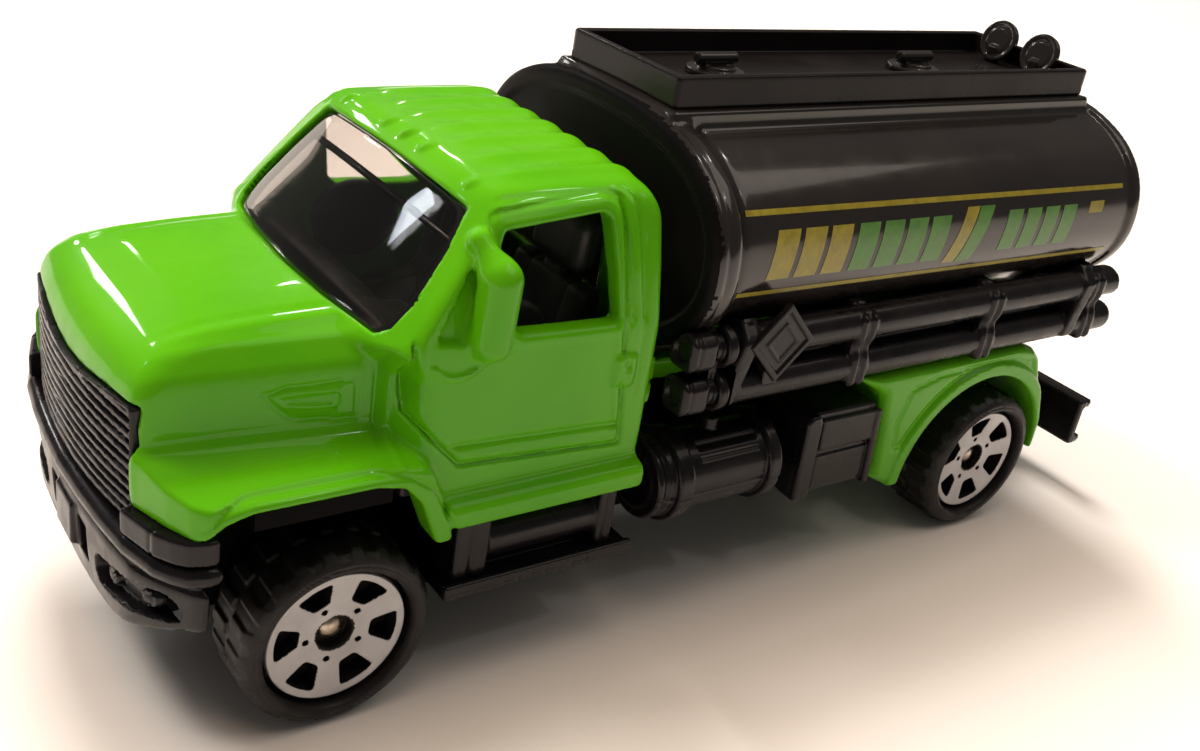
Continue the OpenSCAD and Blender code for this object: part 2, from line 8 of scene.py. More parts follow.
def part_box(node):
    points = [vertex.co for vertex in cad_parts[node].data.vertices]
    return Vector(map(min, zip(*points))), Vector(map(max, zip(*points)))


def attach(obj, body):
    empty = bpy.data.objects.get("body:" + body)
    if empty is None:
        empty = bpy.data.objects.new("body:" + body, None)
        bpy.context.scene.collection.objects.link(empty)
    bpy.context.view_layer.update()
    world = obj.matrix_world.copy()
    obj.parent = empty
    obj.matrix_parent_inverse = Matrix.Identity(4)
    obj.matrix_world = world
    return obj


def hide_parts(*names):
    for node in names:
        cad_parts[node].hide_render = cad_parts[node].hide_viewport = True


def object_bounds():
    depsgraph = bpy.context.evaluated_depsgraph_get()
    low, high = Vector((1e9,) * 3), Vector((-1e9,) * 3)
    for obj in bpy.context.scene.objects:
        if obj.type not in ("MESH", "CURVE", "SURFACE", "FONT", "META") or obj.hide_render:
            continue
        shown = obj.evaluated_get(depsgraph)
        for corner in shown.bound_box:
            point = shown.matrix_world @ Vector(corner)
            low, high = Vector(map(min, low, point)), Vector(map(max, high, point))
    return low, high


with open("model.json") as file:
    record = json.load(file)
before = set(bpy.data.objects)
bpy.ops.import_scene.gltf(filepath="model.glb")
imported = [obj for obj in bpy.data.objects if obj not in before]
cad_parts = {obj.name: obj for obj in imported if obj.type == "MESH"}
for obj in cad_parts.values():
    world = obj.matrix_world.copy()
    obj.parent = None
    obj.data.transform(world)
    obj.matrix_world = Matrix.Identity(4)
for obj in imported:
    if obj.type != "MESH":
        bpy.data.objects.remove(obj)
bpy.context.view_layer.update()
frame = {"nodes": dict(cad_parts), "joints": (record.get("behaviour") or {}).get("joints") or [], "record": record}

F = np.float32
COARSE = 1.0
SLOTS = {s["node"]: s["material_slot"] for s in frame["record"]["subparts"]}


# ---- distances to shapes, in millimetres ----

def poly_sd(u, v, pts):
    """Signed distance to a closed outline, negative inside."""
    d = np.full(u.shape, 1e9, F)
    s = np.ones(u.shape, F)
    for i in range(len(pts)):
        (ax, ay), (bx, by) = pts[i], pts[i - 1]
        ex, ey = bx - ax, by - ay
        wx, wy = u - F(ax), v - F(ay)
        t = np.clip((wx * F(ex) + wy * F(ey)) / F(ex * ex + ey * ey), 0, 1)
        d = np.minimum(d, (wx - F(ex) * t) ** 2 + (wy - F(ey) * t) ** 2)
        c1, c2, c3 = v >= ay, v < by, F(ex) * wy > F(ey) * wx
        s = np.where((c1 & c2 & c3) | (~c1 & ~c2 & ~c3), -s, s)
    return s * np.sqrt(d)


class Outline:
    """Signed distance to an outline whose corners are softened, kept as a table for speed."""

    def __init__(self, pts, soft=0.2, step=0.07, pad=3.0):
        p = np.array(pts, float)
        lo, hi = p.min(0) - pad, p.max(0) + pad
        n = np.ceil((hi - lo) / step).astype(int) + 1
        u, v = np.meshgrid(*[lo[a] + step * np.arange(n[a]) for a in (0, 1)], indexing="ij")
        t = poly_sd(u.astype(F), v.astype(F), [tuple(q) for q in p])
        m = max(2, int(3 * soft / step))
        k = np.exp(-0.5 * (np.arange(-m, m + 1) * step / soft) ** 2)
        k /= k.sum()
        q = np.pad(t, [(m, m), (0, 0)], mode="edge")
        t = sum(F(w) * q[i:i + n[0], :] for i, w in enumerate(k))
        q = np.pad(t, [(0, 0), (m, m)], mode="edge")
        t = sum(F(w) * q[:, i:i + n[1]] for i, w in enumerate(k))
        self.t, self.lo, self.step, self.n = t.astype(F), lo, step, n

    def __call__(self, u, v):
        a = np.clip((u - F(self.lo[0])) * F(1 / self.step), 0, F(self.n[0] - 1.001))
        b = np.clip((v - F(self.lo[1])) * F(1 / self.step), 0, F(self.n[1] - 1.001))
        i, j = a.astype(np.int32), b.astype(np.int32)
        a, b = a - i, b - j
        t = self.t
        near = t[i, j] * (1 - a) + t[i + 1, j] * a
        return near * (1 - b) + (t[i, j + 1] * (1 - a) + t[i + 1, j + 1] * a) * b


def whole(half):
    """The outline given for positive Y, completed with its mirror image."""
    return list(half) + [(-a, b) for a, b in reversed(half) if a > 1e-3]


def smin(a, b, k):
    h = np.maximum(k - np.abs(a - b), 0) / k
    return np.minimum(a, b) - h * h * F(k * 0.25)


def smax(a, b, k):
    return -smin(-a, -b, k)


def slab(v, a, b):
    return np.abs(v - F((a + b) / 2)) - F((b - a) / 2)


def rbox(x, y, z, lo, hi, r=0.2):
    q = [slab(v, a, b) + F(r) for v, a, b in zip((x, y, z), lo, hi)]
    out = np.sqrt(sum(np.maximum(v, 0) ** 2 for v in q))
    return out + np.minimum(np.maximum(np.maximum(q[0], q[1]), q[2]), 0) - F(r)


def rod(u, v, w, cu, cv, r, a, b, k=0.15):
    """A round bar along w from a to b, with its ends rounded by k."""
    q0 = np.hypot(u - F(cu), v - F(cv)) - F(r - k)
    q1 = slab(w, a, b) + F(k)
    return np.hypot(np.maximum(q0, 0), np.maximum(q1, 0)) + np.minimum(np.maximum(q0, q1), 0) - F(k)


def capsule(x, y, z, a, b, r):
    a, b = np.array(a, float), np.array(b, float)
    e = b - a
    wx, wy, wz = x - F(a[0]), y - F(a[1]), z - F(a[2])
    t = np.clip((wx * F(e[0]) + wy * F(e[1]) + wz * F(e[2])) / F(e @ e), 0, 1)
    return np.sqrt((wx - F(e[0]) * t) ** 2 + (wy - F(e[1]) * t) ** 2 + (wz - F(e[2]) * t) ** 2) - F(r)


def path_dist(u, v, pts):
    """Distance to an open line of points."""
    d = np.full(u.shape, 1e9, F)
    for (ax, ay), (bx, by) in zip(pts, pts[1:]):
        ex, ey = bx - ax, by - ay
        t = np.clip(((u - F(ax)) * F(ex) + (v - F(ay)) * F(ey)) / F(ex * ex + ey * ey), 0, 1)
        d = np.minimum(d, np.hypot(u - F(ax) - F(ex) * t, v - F(ay) - F(ey) * t))
    return d


def groove(dist, depth, width):
    return F(depth) * np.exp(-(dist * F(1 / width)) ** 2)


def ramp(v, a, b):
    """0 at a, 1 at b and smooth between them; a may be larger than b."""
    t = np.clip((v - F(a)) / F(b - a), 0, 1)
    return t * t * (3 - 2 * t)


# ---- surface of a distance field ----

CORNERS = [(i, j, k) for i in (0, 1) for j in (0, 1) for k in (0, 1)]
BLOCK = 4  # cells along a side of the coarse blocks that are tested first
CHUNK = 400000  # grid points worked out at a time
FAR = F(9)  # stands for any distance that is too large to matter
PULLS = 3  # times the vertices are moved onto the surface
EDGES = [(a, b) for a in range(8) for b in range(a + 1, 8)
         if sum(abs(p - q) for p, q in zip(CORNERS[a], CORNERS[b])) == 1]


def gradient(sd, p, eps):
    g = np.empty(p.shape, F)
    for c in range(3):
        q = p.copy()
        q[:, c] += F(eps)
        up = sd(q[:, 0], q[:, 1], q[:, 2])
        q[:, c] -= F(2 * eps)
        g[:, c] = (up - sd(q[:, 0], q[:, 1], q[:, 2])) / F(2 * eps)
    return g


def in_blocks(t):
    """Each value repeated over the cells of its block."""
    for ax in range(3):
        t = np.repeat(t, BLOCK, ax)
    return t


def surface(sd, lo, hi, h, eps=0.05):
    """Vertices, quads and normals of the surface sd = 0 inside the box lo..hi."""
    h = h * COARSE
    lo = np.array(lo, float) - 2 * h
    side = h * BLOCK
    nb = np.ceil((np.array(hi, float) + 2 * h - lo) / side).astype(int)
    n = nb * BLOCK
    mids = [lo[a] + side * (np.arange(nb[a]) + 0.5) for a in range(3)]
    cc = np.stack(np.meshgrid(*mids, indexing="ij"), -1).reshape(-1, 3).astype(F)
    c = sd(cc[:, 0], cc[:, 1], cc[:, 2]).reshape(nb)
    d = in_blocks(np.where(c < 0, -FAR, FAR))
    ijk = np.argwhere(in_blocks(np.abs(c) < side * 1.15 + 0.25))
    for i in range(0, len(ijk), CHUNK):
        q = ijk[i:i + CHUNK]
        p = (lo + h * q).astype(F)
        d[q[:, 0], q[:, 1], q[:, 2]] = sd(p[:, 0], p[:, 1], p[:, 2])
    neg = d < 0
    cnt = sum(neg[i:n[0] - 1 + i, j:n[1] - 1 + j, k:n[2] - 1 + k].astype(np.int8)
              for i, j, k in CORNERS)
    cells = np.argwhere((cnt > 0) & (cnt < 8))
    vals = np.stack([d[cells[:, 0] + i, cells[:, 1] + j, cells[:, 2] + k] for i, j, k in CORNERS], 1)
    acc, num = np.zeros((len(cells), 3)), np.zeros(len(cells))
    for a, b in EDGES:
        va, vb = vals[:, a], vals[:, b]
        m = (va < 0) != (vb < 0)
        t = np.where(m, va / np.where(m, va - vb, 1), 0)
        pa, pb = np.array(CORNERS[a], float), np.array(CORNERS[b], float)
        acc += m[:, None] * (pa + (pb - pa) * t[:, None])
        num += m
    p = (lo + h * (cells + acc / num[:, None])).astype(F)
    index = np.full(n, -1, np.int32)
    index[cells[:, 0], cells[:, 1], cells[:, 2]] = np.arange(len(cells))
    quads = []
    for ax in range(3):
        o1, o2 = [(1, 2), (2, 0), (0, 1)][ax]
        sl = [slice(1, n[a] - 1) for a in range(3)]
        s2 = list(sl)
        sl[ax], s2[ax] = slice(0, n[ax] - 1), slice(1, n[ax])
        e = np.argwhere(neg[tuple(sl)] != neg[tuple(s2)]) + [a != ax for a in range(3)]
        flip = neg[e[:, 0], e[:, 1], e[:, 2]]
        q = []
        for da, db in ((0, 0), (-1, 0), (-1, -1), (0, -1)):
            w = e.copy()
            w[:, o1] += da
            w[:, o2] += db
            q.append(index[w[:, 0], w[:, 1], w[:, 2]])
        q = np.stack(q, 1)
        q[~flip] = q[~flip][:, ::-1]
        quads.append(q)
    quads = np.concatenate(quads)
    quads = quads[(quads >= 0).all(1)]
    for _ in range(PULLS):
        g = gradient(sd, p, eps)
        g2 = np.maximum((g * g).sum(1), 0.05)
        step = (sd(p[:, 0], p[:, 1], p[:, 2]) / g2)[:, None] * g
        ln = np.linalg.norm(step, axis=1, keepdims=True)
        p -= step * np.minimum(1, 0.6 * h / np.maximum(ln, 1e-6))
    g = gradient(sd, p, eps)
    return p, quads, g / np.maximum(np.linalg.norm(g, axis=1, keepdims=True), 1e-6)


def make(name, p, faces, normals, mats, body="truck", slot=None, mat_index=None):
    """A piece from a vertex table in millimetres."""
    me = bpy.data.meshes.new(name)
    faces = faces if isinstance(faces, list) else np.asarray(faces).tolist()
    me.from_pydata((np.asarray(p, float) / 1000).tolist(), [], faces)
    me.validate()
    for m in mats:
        me.materials.append(M[m])
    if mat_index is not None and len(mat_index) == len(me.polygons):
        me.polygons.foreach_set("material_index", np.asarray(mat_index, np.int32))
    me.polygons.foreach_set("use_smooth", np.ones(len(me.polygons), bool))
    if normals is not None and len(me.vertices) == len(p):
        me.normals_split_custom_set_from_vertices(np.asarray(normals, float).tolist())
    me.update()
    ob = bpy.data.objects.new(name, me)
    bpy.context.scene.collection.objects.link(ob)
    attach(ob, body)
    return ob


def mirrored(p, faces, normals):
    s = np.array([1, -1, 1], F)
    return p * s, np.asarray(faces)[:, ::-1], normals * s


def lohi(node):
    """Opposite corners of a node's box."""
    a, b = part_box(node)
    return np.array(a) * 1000, np.array(b) * 1000


def carve(name, sd, h, mats, nodes, right=None, eps=0.05, index=None, box=None):
    """Builds the piece from cells of size h, and its mirror image where right is its (name, nodes)."""
    p, q, nr = surface(sd, *(box or lohi(nodes[0])), h, eps)
    mi = index(p[q].mean(1)) if index else None
    mats = [mats] if isinstance(mats, str) else mats
    ob = make(name, p, q, nr, mats, mat_index=mi)
    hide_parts(*nodes)
    print("piece", name, len(q))
    if right:
        o2 = make(right[0], *mirrored(p, q, nr), mats, mat_index=mi)
        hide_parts(*right[1])


# ---- materials ----

M = {}


def noise(nt, scale, detail=2.0, rough=0.5):
    co = nt.nodes.new("ShaderNodeTexCoord")
    n = nt.nodes.new("ShaderNodeTexNoise")
    n.inputs["Scale"].default_value = scale
    n.inputs["Detail"].default_value = detail
    n.inputs["Roughness"].default_value = rough
    nt.links.new(co.outputs["Object"], n.inputs["Vector"])
    return n.outputs["Fac"]


def material(name, rough, tint, gloss, *grain, metal=0.0, top=0.7, **sockets):
    """A mottled surface of uneven gloss, with a fine grain.

    tint is (noise, darker, lighter), gloss is (noise, lowest, highest roughness) and each grain is
    (noise, strength, distance). A noise is (scale, detail) or (scale, detail, roughness).
    """
    mt = bpy.data.materials.new(name)
    mt.use_nodes = True
    nt = mt.node_tree
    b = nt.nodes["Principled BSDF"]
    b.inputs["Roughness"].default_value = rough
    b.inputs["Metallic"].default_value = metal
    for k, v in sockets.items():
        b.inputs[k.replace("_", " ")].default_value = v
    fac = noise(nt, *tint[0])
    r = nt.nodes.new("ShaderNodeValToRGB")
    for e, at, col in zip(r.color_ramp.elements, (0.3, top), tint[1:]):
        e.position = at
        e.color = (*col, 1)
    nt.links.new(fac, r.inputs["Fac"])
    nt.links.new(r.outputs["Color"], b.inputs["Base Color"])
    fac = noise(nt, *gloss[0])
    m = nt.nodes.new("ShaderNodeMapRange")
    for socket, v in zip(("From Min", "From Max", "To Min", "To Max"), (0.3, 0.7, *gloss[1:])):
        m.inputs[socket].default_value = v
    nt.links.new(fac, m.inputs["Value"])
    nt.links.new(m.outputs["Result"], b.inputs["Roughness"])
    last = None
    for fac, strength, dist in [(noise(nt, *g[0]), *g[1:]) for g in grain]:
        u = nt.nodes.new("ShaderNodeBump")
        u.inputs["Strength"].default_value = strength
        u.inputs["Distance"].default_value = dist
        nt.links.new(fac, u.inputs["Height"])
        if last:
            nt.links.new(last, u.inputs["Normal"])
        last = u.outputs["Normal"]
    if last:
        nt.links.new(last, b.inputs["Normal"])
    M[name] = mt


material("green_enamel", 0.35, ((90, 3), (0.076, 0.36, 0.002), (0.105, 0.415, 0.004)), ((900, 2), 0.3, 0.45),
         ((420, 1), 0.1, 0.0004), ((1900, 2), 0.05, 0.0001), Specular_IOR_Level=0.06, Coat_Weight=0.6,
         Coat_Roughness=0.04, Coat_IOR=1.38)
material("tank_gloss", 0.14, ((160, 4), (0.013, 0.0105, 0.010), (0.018, 0.015, 0.013)), ((500, 5, 0.7), 0.1, 0.22),
         ((260, 1), 0.07, 0.0004), ((2600, 3), 0.06, 0.00006), Specular_IOR_Level=0.45, Coat_Weight=0.3,
         Coat_Roughness=0.06)
material("rim_black", 0.25, ((160, 4), (0.007, 0.006, 0.006), (0.012, 0.010, 0.010)), ((300, 3), 0.2, 0.32),
         Specular_IOR_Level=0.16)
# a darker, duller copy of tank_gloss: painted shade for the tank's front face, which sits in shadow behind the cab
material("tank_face", 0.45, ((160, 4), (0.003, 0.003, 0.003), (0.006, 0.005, 0.005)), ((300, 3), 0.4, 0.5),
         Specular_IOR_Level=0.06)
# a darker, rougher copy of chassis_black: painted shade for the base pan, which sits in shadow under the truck
material("chassis_shade_black", 0.6, ((300, 4), (0.0015, 0.0012, 0.0015), (0.003, 0.0025, 0.003)), ((300, 3), 0.5, 0.7),
         top=0.75, Specular_IOR_Level=0.05)
material("chassis_black", 0.34, ((300, 4), (0.005, 0.004, 0.005), (0.010, 0.008, 0.009)), ((700, 4), 0.22, 0.42),
         ((900, 2), 0.12, 0.0002), ((4200, 3), 0.12, 0.00006), top=0.75, Specular_IOR_Level=0.18, Coat_Weight=0.2,
         Coat_Roughness=0.06)
material("cabin_black", 0.5, ((300, 3), (0.010, 0.010, 0.010), (0.020, 0.019, 0.019)), ((600, 3), 0.4, 0.6),
         ((3800, 3), 0.2, 0.0001))
material("glazing", 0.03, ((60, 2), (0.60, 0.55, 0.52), (0.66, 0.61, 0.58)), ((800, 2), 0.015, 0.05),
         ((220, 1), 0.04, 0.0002), Transmission_Weight=1.0, IOR=1.45)
# painted shade: the dark look of the clear windscreen's edges, seen through its thick moulding
material("glazing_edge_shade", 0.12, ((300, 3), (0.004, 0.004, 0.004), (0.010, 0.009, 0.009)), ((900, 3), 0.08, 0.18),
         ((1500, 2), 0.06, 0.0001), Coat_Weight=0.5, Coat_Roughness=0.05)
material("tyre_rubber", 0.5, ((350, 4), (0.005, 0.004, 0.004), (0.010, 0.008, 0.008)), ((900, 4), 0.38, 0.6),
         ((1400, 3), 0.2, 0.0002), ((6000, 3), 0.2, 0.00006), top=0.75, Specular_IOR_Level=0.35)
material("silver_disc", 0.38, ((500, 4), (0.50, 0.49, 0.50), (0.62, 0.61, 0.62)), ((1200, 4), 0.3, 0.48),
         ((5200, 2), 0.15, 0.00005), metal=0.25, Coat_Weight=0.2, Coat_Roughness=0.2)
material("axle_steel", 0.3, ((1500, 4), (0.36, 0.29, 0.22), (0.55, 0.48, 0.40)), ((2500, 3), 0.22, 0.42),
         ((5000, 3), 0.2, 0.00006), metal=1.0)
material("print_yellow", 0.35, ((1500, 4, 0.7), (0.20, 0.165, 0.012), (0.33, 0.28, 0.02)), ((1500, 3), 0.28, 0.5),
         ((4000, 3), 0.15, 0.00004), Coat_Weight=0.2, Coat_Roughness=0.2)
material("print_green", 0.35, ((1500, 4, 0.7), (0.045, 0.15, 0.02), (0.08, 0.24, 0.03)), ((1500, 3), 0.28, 0.5),
         ((4000, 3), 0.15, 0.00004), Coat_Weight=0.2, Coat_Roughness=0.2)
material("floor_card", 0.55, ((9, 3), (0.84, 0.795, 0.755), (0.87, 0.825, 0.785)), ((60, 3), 0.5, 0.62),
         ((900, 3), 0.03, 0.0002))

# the base pan takes the painted-shade copy of the chassis black
for n, o in frame["nodes"].items():
    o.data.materials.clear()
    o.data.materials.append(M["chassis_shade_black" if n == "chassis_base" else SLOTS[n]])


# ---- places, from the frame ----

JOINT = {j["name"]: np.array(j["pos_m"]) * 1000 for j in frame["joints"]}
FRONT_X, WHEEL_Z = JOINT["spin_front_left"][0], JOINT["spin_front_left"][2]
REAR_X = JOINT["spin_rear_left"][0]
cab_hi = lohi("cab_body")[1]
SILL_Z = 10.7  # the foot of the doors
ROOF_Z = cab_hi[2] - 0.3
MIRROR_Y = cab_hi[1]

# ---- cab casting ----

SCREEN_TOP, SCREEN_FOOT = np.array([20.08, 26.9]), np.array([25.15, 21.15])
SCREEN_LEN = float(np.linalg.norm(SCREEN_FOOT - SCREEN_TOP))
SCREEN_DIR = (SCREEN_FOOT - SCREEN_TOP) / SCREEN_LEN
BOW_R = 42.0  # radius of the windscreen's bow from side to side
BOW_IN = 0.9  # how far its middle stands out from the line from top to foot
BOW_AXIS = BOW_R - BOW_IN


def on_screen(x, z):
    """Place down the slope of the windscreen, and outward from it."""
    u = (x - F(SCREEN_TOP[0])) * F(SCREEN_DIR[0]) + (z - F(SCREEN_TOP[1])) * F(SCREEN_DIR[1])
    n = (x - F(SCREEN_TOP[0])) * F(-SCREEN_DIR[1]) + (z - F(SCREEN_TOP[1])) * F(SCREEN_DIR[0])
    return u, n


def screen_half(g):
    return [(0, -g - 0.1), (8.15 + g, -g), (9.0 + g, 2.4), (9.6 + g, 5.6), (9.5 + g, SCREEN_LEN - 0.7 + g),
            (8.9, SCREEN_LEN + g), (5, SCREEN_LEN + 0.35 + g), (0, SCREEN_LEN + 0.5 + g)]


cab_side = Outline([(9.0, 10.7), (9.0, 26.6), (9.5, 27.8), (10.6, 28.5), (15, 28.62), (19, 28.32), (19.9, 27.75),
                    (20.6, 27.1), (26.05, 20.9), (25.2, 19.4), (24.6, 10.7)], 0.28)
cab_half = Outline(whole([(11.5, 10.0), (11.68, 14), (11.62, 20.6), (10.95, 23.6), (10.15, 26.5), (9.6, 27.45),
                          (8.7, 28.05), (7.2, 28.22), (4, 28.45), (0, 28.56)]), 0.35)
hood_side = Outline([(20, 13.3), (37.9, 13.3), (37.87, 16.8), (37.65, 18.0), (37.2, 19.0), (36.3, 19.9),
                     (34.8, 20.75), (32.8, 21.4),
                     (29.5, 21.85), (26, 22.1), (20, 22.2)], 0.25)
hood_half = Outline(whole([(9.05, 10), (8.9, 19.0), (8.72, 19.75), (7.9, 20.8), (6.5, 21.55), (4, 22.0),
                           (0, 22.15)]), 0.16)
hood_plan = Outline(whole([(11.5, 20), (11.5, 35.2), (8.5, 36.5), (7.6, 36.95), (5.5, 37.42), (2.5, 37.72),
                           (0, 37.8)]), 0.3)
grille_hole = Outline(whole([(8.05, 12.2), (8.05, 18.5), (5.5, 18.35), (2.5, 17.9), (0, 17.75)]), 0.12)
fender_side = Outline([(21.2, 10.1), (22.0, 12.7), (22.9, 14.6), (24.2, 15.9), (26, 16.6), (33, 16.5), (36, 16.2),
                       (37.0, 15.8), (37.0, 13.3), (34.4, 13.25), (34.0, 12.0), (22.4, 10.1)], 0.2)
fender_half = Outline([(5.0, 9), (12.55, 9), (12.55, 14.75), (12.3, 15.0), (11.4, 15.25), (10.0, 15.55), (8.7, 16.1),
                       (5.0, 17.6)], 0.2)
fender_plan = Outline([(20, 5), (37.0, 5), (36.75, 7.9), (36.6, 8.3), (35.75, 10.6), (35.05, 11.9), (34.2, 12.55),
                       (20, 12.55)], 0.16)
arch = Outline([(21.0, 8.6), (22.1, 11.0), (23.2, 13.2), (24.4, 14.05), (26, 14.35), (32.3, 14.4), (33.5, 14.15),
                (34.2, 13.3), (37, 13.2), (37, 8.6)], 0.16)
arch_cut = Outline([(22.0, 8), (22.05, 9.5), (23.4, 12.9), (24.4, 14.0), (26, 14.38), (32.3, 14.4), (33.6, 14.05),
                    (34.5, 13.3), (34.6, 8)], 0.15)
side_glass = Outline([(12.0, 21.25), (12.2, 21.05), (18.1, 21.25), (18.7, 21.7), (19.3, 25.6), (19.0, 26.35),
                      (13.0, 26.8), (12.55, 26.5)], 0.13)
door = Outline([(10.7, 13.55), (21.1, 14.3), (23.85, 17.3), (24.15, 21.6), (20.2, 27.0), (19.4, 27.75), (12.6, 27.9),
                (11.7, 27.4), (11.55, 20.4)], 0.1)
quarter = Outline([(23.0, 21.3), (20.9, 24.9), (20.3, 24.6), (20.3, 21.1)], 0.16)
badge_out = [(30.5, 18.4), (29.3, 18.75), (25.9, 18.8), (25.75, 16.6), (29.2, 17.0), (30.1, 17.9), (30.5, 18.4)]
badge_in = [(29.6, 18.4), (26.7, 18.35), (27.0, 17.45), (29.2, 17.65)]
sill_half = Outline([(9.8, 10.7), (12.3, 10.7), (12.6, 10.95), (12.62, 11.75), (12.4, 12.2), (11.5, 12.5),
                     (11.15, 12.85), (9.8, 13.3)], 0.12)
screen_hole = Outline([(v, u) for u, v in whole(screen_half(0.0))], 0.12)
cavity_side = Outline([(10.1, 8), (10.1, 26.2), (11, 27.2), (19, 27.1), (19.7, 26.2), (23.5, 21.2), (23.5, 8)], 0.1)
cavity_half = Outline(whole([(10.4, 8), (10.5, 20.4), (9.8, 23.4), (8.9, 26.2), (8, 27.1), (0, 27.3)]), 0.1)
under_hood = Outline([(21, 8), (21, 20.2), (30, 20.4), (33.6, 19.3), (35.2, 17.4), (35.2, 8)], 0.1)


RIB_STEP = 2.35
ROOF_LAMPS = (0, 2.15, 7.1)  # distances from the middle


def bowed(x, y, z):
    """Distance outward of the windscreen's bowed surface."""
    u, n = on_screen(x, z)
    return np.hypot(y, n + F(BOW_AXIS)) - F(BOW_R)


def cab(x, y, z):
    a = np.abs(y)
    u, n = on_screen(x, z)
    out = bowed(x, y, z)
    d = smax(cab_side(x, z), cab_half(y, z), 0.8)
    d = smax(d, (x - 24.3) * 0.86 + (a - 9.7) * 0.51 - ramp(z, 19, 22) * 1.6, 0.5)
    d = smax(d, out - 0.1, 0.5)
    wide = 1.03 - 0.1 * np.clip((x - 24) / 12.6, 0, 1.1)
    h = smax(hood_side(x, z), hood_plan(y, x), 2.2)
    h = smax(h, hood_half(y / wide, z), 0.7)
    h += groove(np.abs(a - 6.3 + (x - 24) * 0.03), 0.07, 0.35) * ramp(z, 20, 21) * ramp(x, 35.5, 33)
    h -= groove(np.abs(a - 7.0 + (x - 24) * 0.03), 0.04, 0.3) * ramp(z, 20, 21) * ramp(x, 35.5, 33)
    d = smin(d, h, 0.7)
    f = smax(smax(fender_side(x, z), fender_half(a, z), 0.35), fender_plan(x, a), 0.3)
    d = smin(d, f, 0.55)
    s = smax(sill_half(a, z), slab(x, 9.1, 21.9), 0.35)
    d = smin(d, s, 0.18)
    # ribs and lamps on the roof
    k = np.clip(np.round(a / RIB_STEP), 0, 3)
    top = ramp(z, 26.8, 27.6)
    d -= 0.16 * np.exp(-((a - k * F(RIB_STEP)) / 0.62) ** 2) * ramp(x, 19.0, 16.4) * ramp(x, 9.0, 10.0) * top
    for ly in ROOF_LAMPS:
        ball = np.sqrt(((x - 19.2) / 1.2) ** 2 + (a - ly) ** 2 + (z - F(ROOF_Z - 0.62 - ly * 0.04)) ** 2) - 0.46
        d = smin(d, ball * 0.9, 0.2)
    # lines of the door, window frame and gutter
    side = ramp(a, 8.9, 9.6)
    dr, wn = door(x, z), side_glass(x, z)
    behind = ramp(out, 0.15, -0.25)
    d += groove(dr, 0.24, 0.14) * side * behind
    d -= groove(dr + 0.42, 0.07, 0.22) * side * ramp(z, 14, 15)
    frame_z = ramp(z, 20.3, 21.3)
    d += groove(wn - 0.9, 0.12, 0.13) * side * frame_z * ramp(x, 20.6, 19.6)
    d -= groove(wn - 0.35, 0.10, 0.3) * side
    d += groove(wn - 1.75, 0.10, 0.14) * side * frame_z * ramp(x, 20.8, 20.0)
    d -= groove(dr - 0.7, 0.13, 0.3) * side * ramp(z, 22, 24)
    d += groove(path_dist(x, z, [(11.2, 14.85), (21.6, 15.45)]), 0.13, 0.2) * side
    d += groove(path_dist(x, z, [(24.9, 15.6), (24.9, 20.6)]), 0.12, 0.14) * ramp(a, 8.0, 8.6)
    d -= groove(path_dist(x, z, [(24.5, 15.2), (24.45, 20.8)]), 0.10, 0.2) * ramp(a, 8.0, 8.6)
    d += groove(np.abs(x - 10.3), 0.06, 0.16) * side * ramp(z, 15.4, 16.5) * ramp(z, 26.0, 25.0)
    d += groove(path_dist(x, z, badge_out), 0.09, 0.15) * ramp(a, 8, 8.6)
    d -= groove(path_dist(x, z, badge_in), 0.09, 0.17) * ramp(a, 8, 8.6)
    # fender lip
    ar = arch(x, z)
    d += groove(ar - 0.62, 0.14, 0.17) * ramp(a, 11.3, 12.0) * ramp(z, 9.6, 11.2) * ramp(x, 35.0, 34.0)
    # quarter light, handle with its dimples, and mirror arm
    d += 0.42 * ramp(quarter(x, z), 0.12, -0.16) * ramp(a, 9.6, 10.2)
    hb = rbox(x, a, z, (10.5, 11.0, 17.2), (12.05, 11.95, 19.25), 0.4)
    d = smin(d, hb, 0.22)
    d += groove(np.hypot(x - 11.1, (z - 18.6) / 1.3), 0.22, 0.3) * ramp(a, 11.3, 11.6)
    d += groove(np.hypot(x - 11.5, z - 17.4), 0.15, 0.25) * ramp(a, 11.3, 11.6)
    d += groove(np.hypot(x - 11.25, z - 14.75), 0.14, 0.28) * side
    arm = np.abs(np.hypot(x - 21.7, z - 21.2) - 1.75) + ramp(z, 20.1, 20.6) * 1.5
    d -= groove(arm, 0.16, 0.22) * side
    # openings
    d = smax(d, -smax(cavity_side(x, z), cavity_half(y, z), 0.3), 0.15)
    d = smax(d, -smax(under_hood(x, z), slab(y, -7.7, 7.7), 0.2), 0.15)
    d = smax(d, -smax(arch_cut(x, z), 7.15 - a, 0.15), 0.28)
    d = smax(d, -np.maximum(wn, 5 - a), 0.3)
    d = smax(d, -np.maximum(screen_hole(u, y), np.abs(n) - 4), 0.22)
    d = smax(d, -np.maximum(grille_hole(y, z), 35.1 - x), 0.3)
    d = smax(d, -rbox(x, y, z, (8, -6.5, 20.4), (10.6, 6.5, 25.6), 0.2), 0.2)
    # mirror
    m = rbox(x + (z - 23) * 0.05, y, z, (19.05, MIRROR_Y - 2.3, 20.3), (21.1, MIRROR_Y, 25.55), 0.98)
    m = smin(m, capsule(x, y, z, (20.1, 11.4, 25.0), (20.5, 10.2, 26.0), 0.6), 0.9)
    m = smin(m, capsule(x, y, z, (20.5, 11.5, 21.4), (21.4, 10.6, 20.6), 0.5), 0.6)
    return smin(d, m, 0.45)


carve("cab_casting", cab, 0.205, "green_enamel", ["cab_body"], eps=0.045,
      box=((9.0, -12.6, 9.9), (37.9, 12.95, 28.95)))

# ---- glazing and cabin ----

PANE_FRONT, PANE_BACK = -0.12, -0.95  # depths of its two faces under the bowed surface
RIB_ROWS = ((1.55, -0.9), (1.95, -0.9), (1.95, -1.3), (1.55, -1.3))  # (place down the slope, depth)


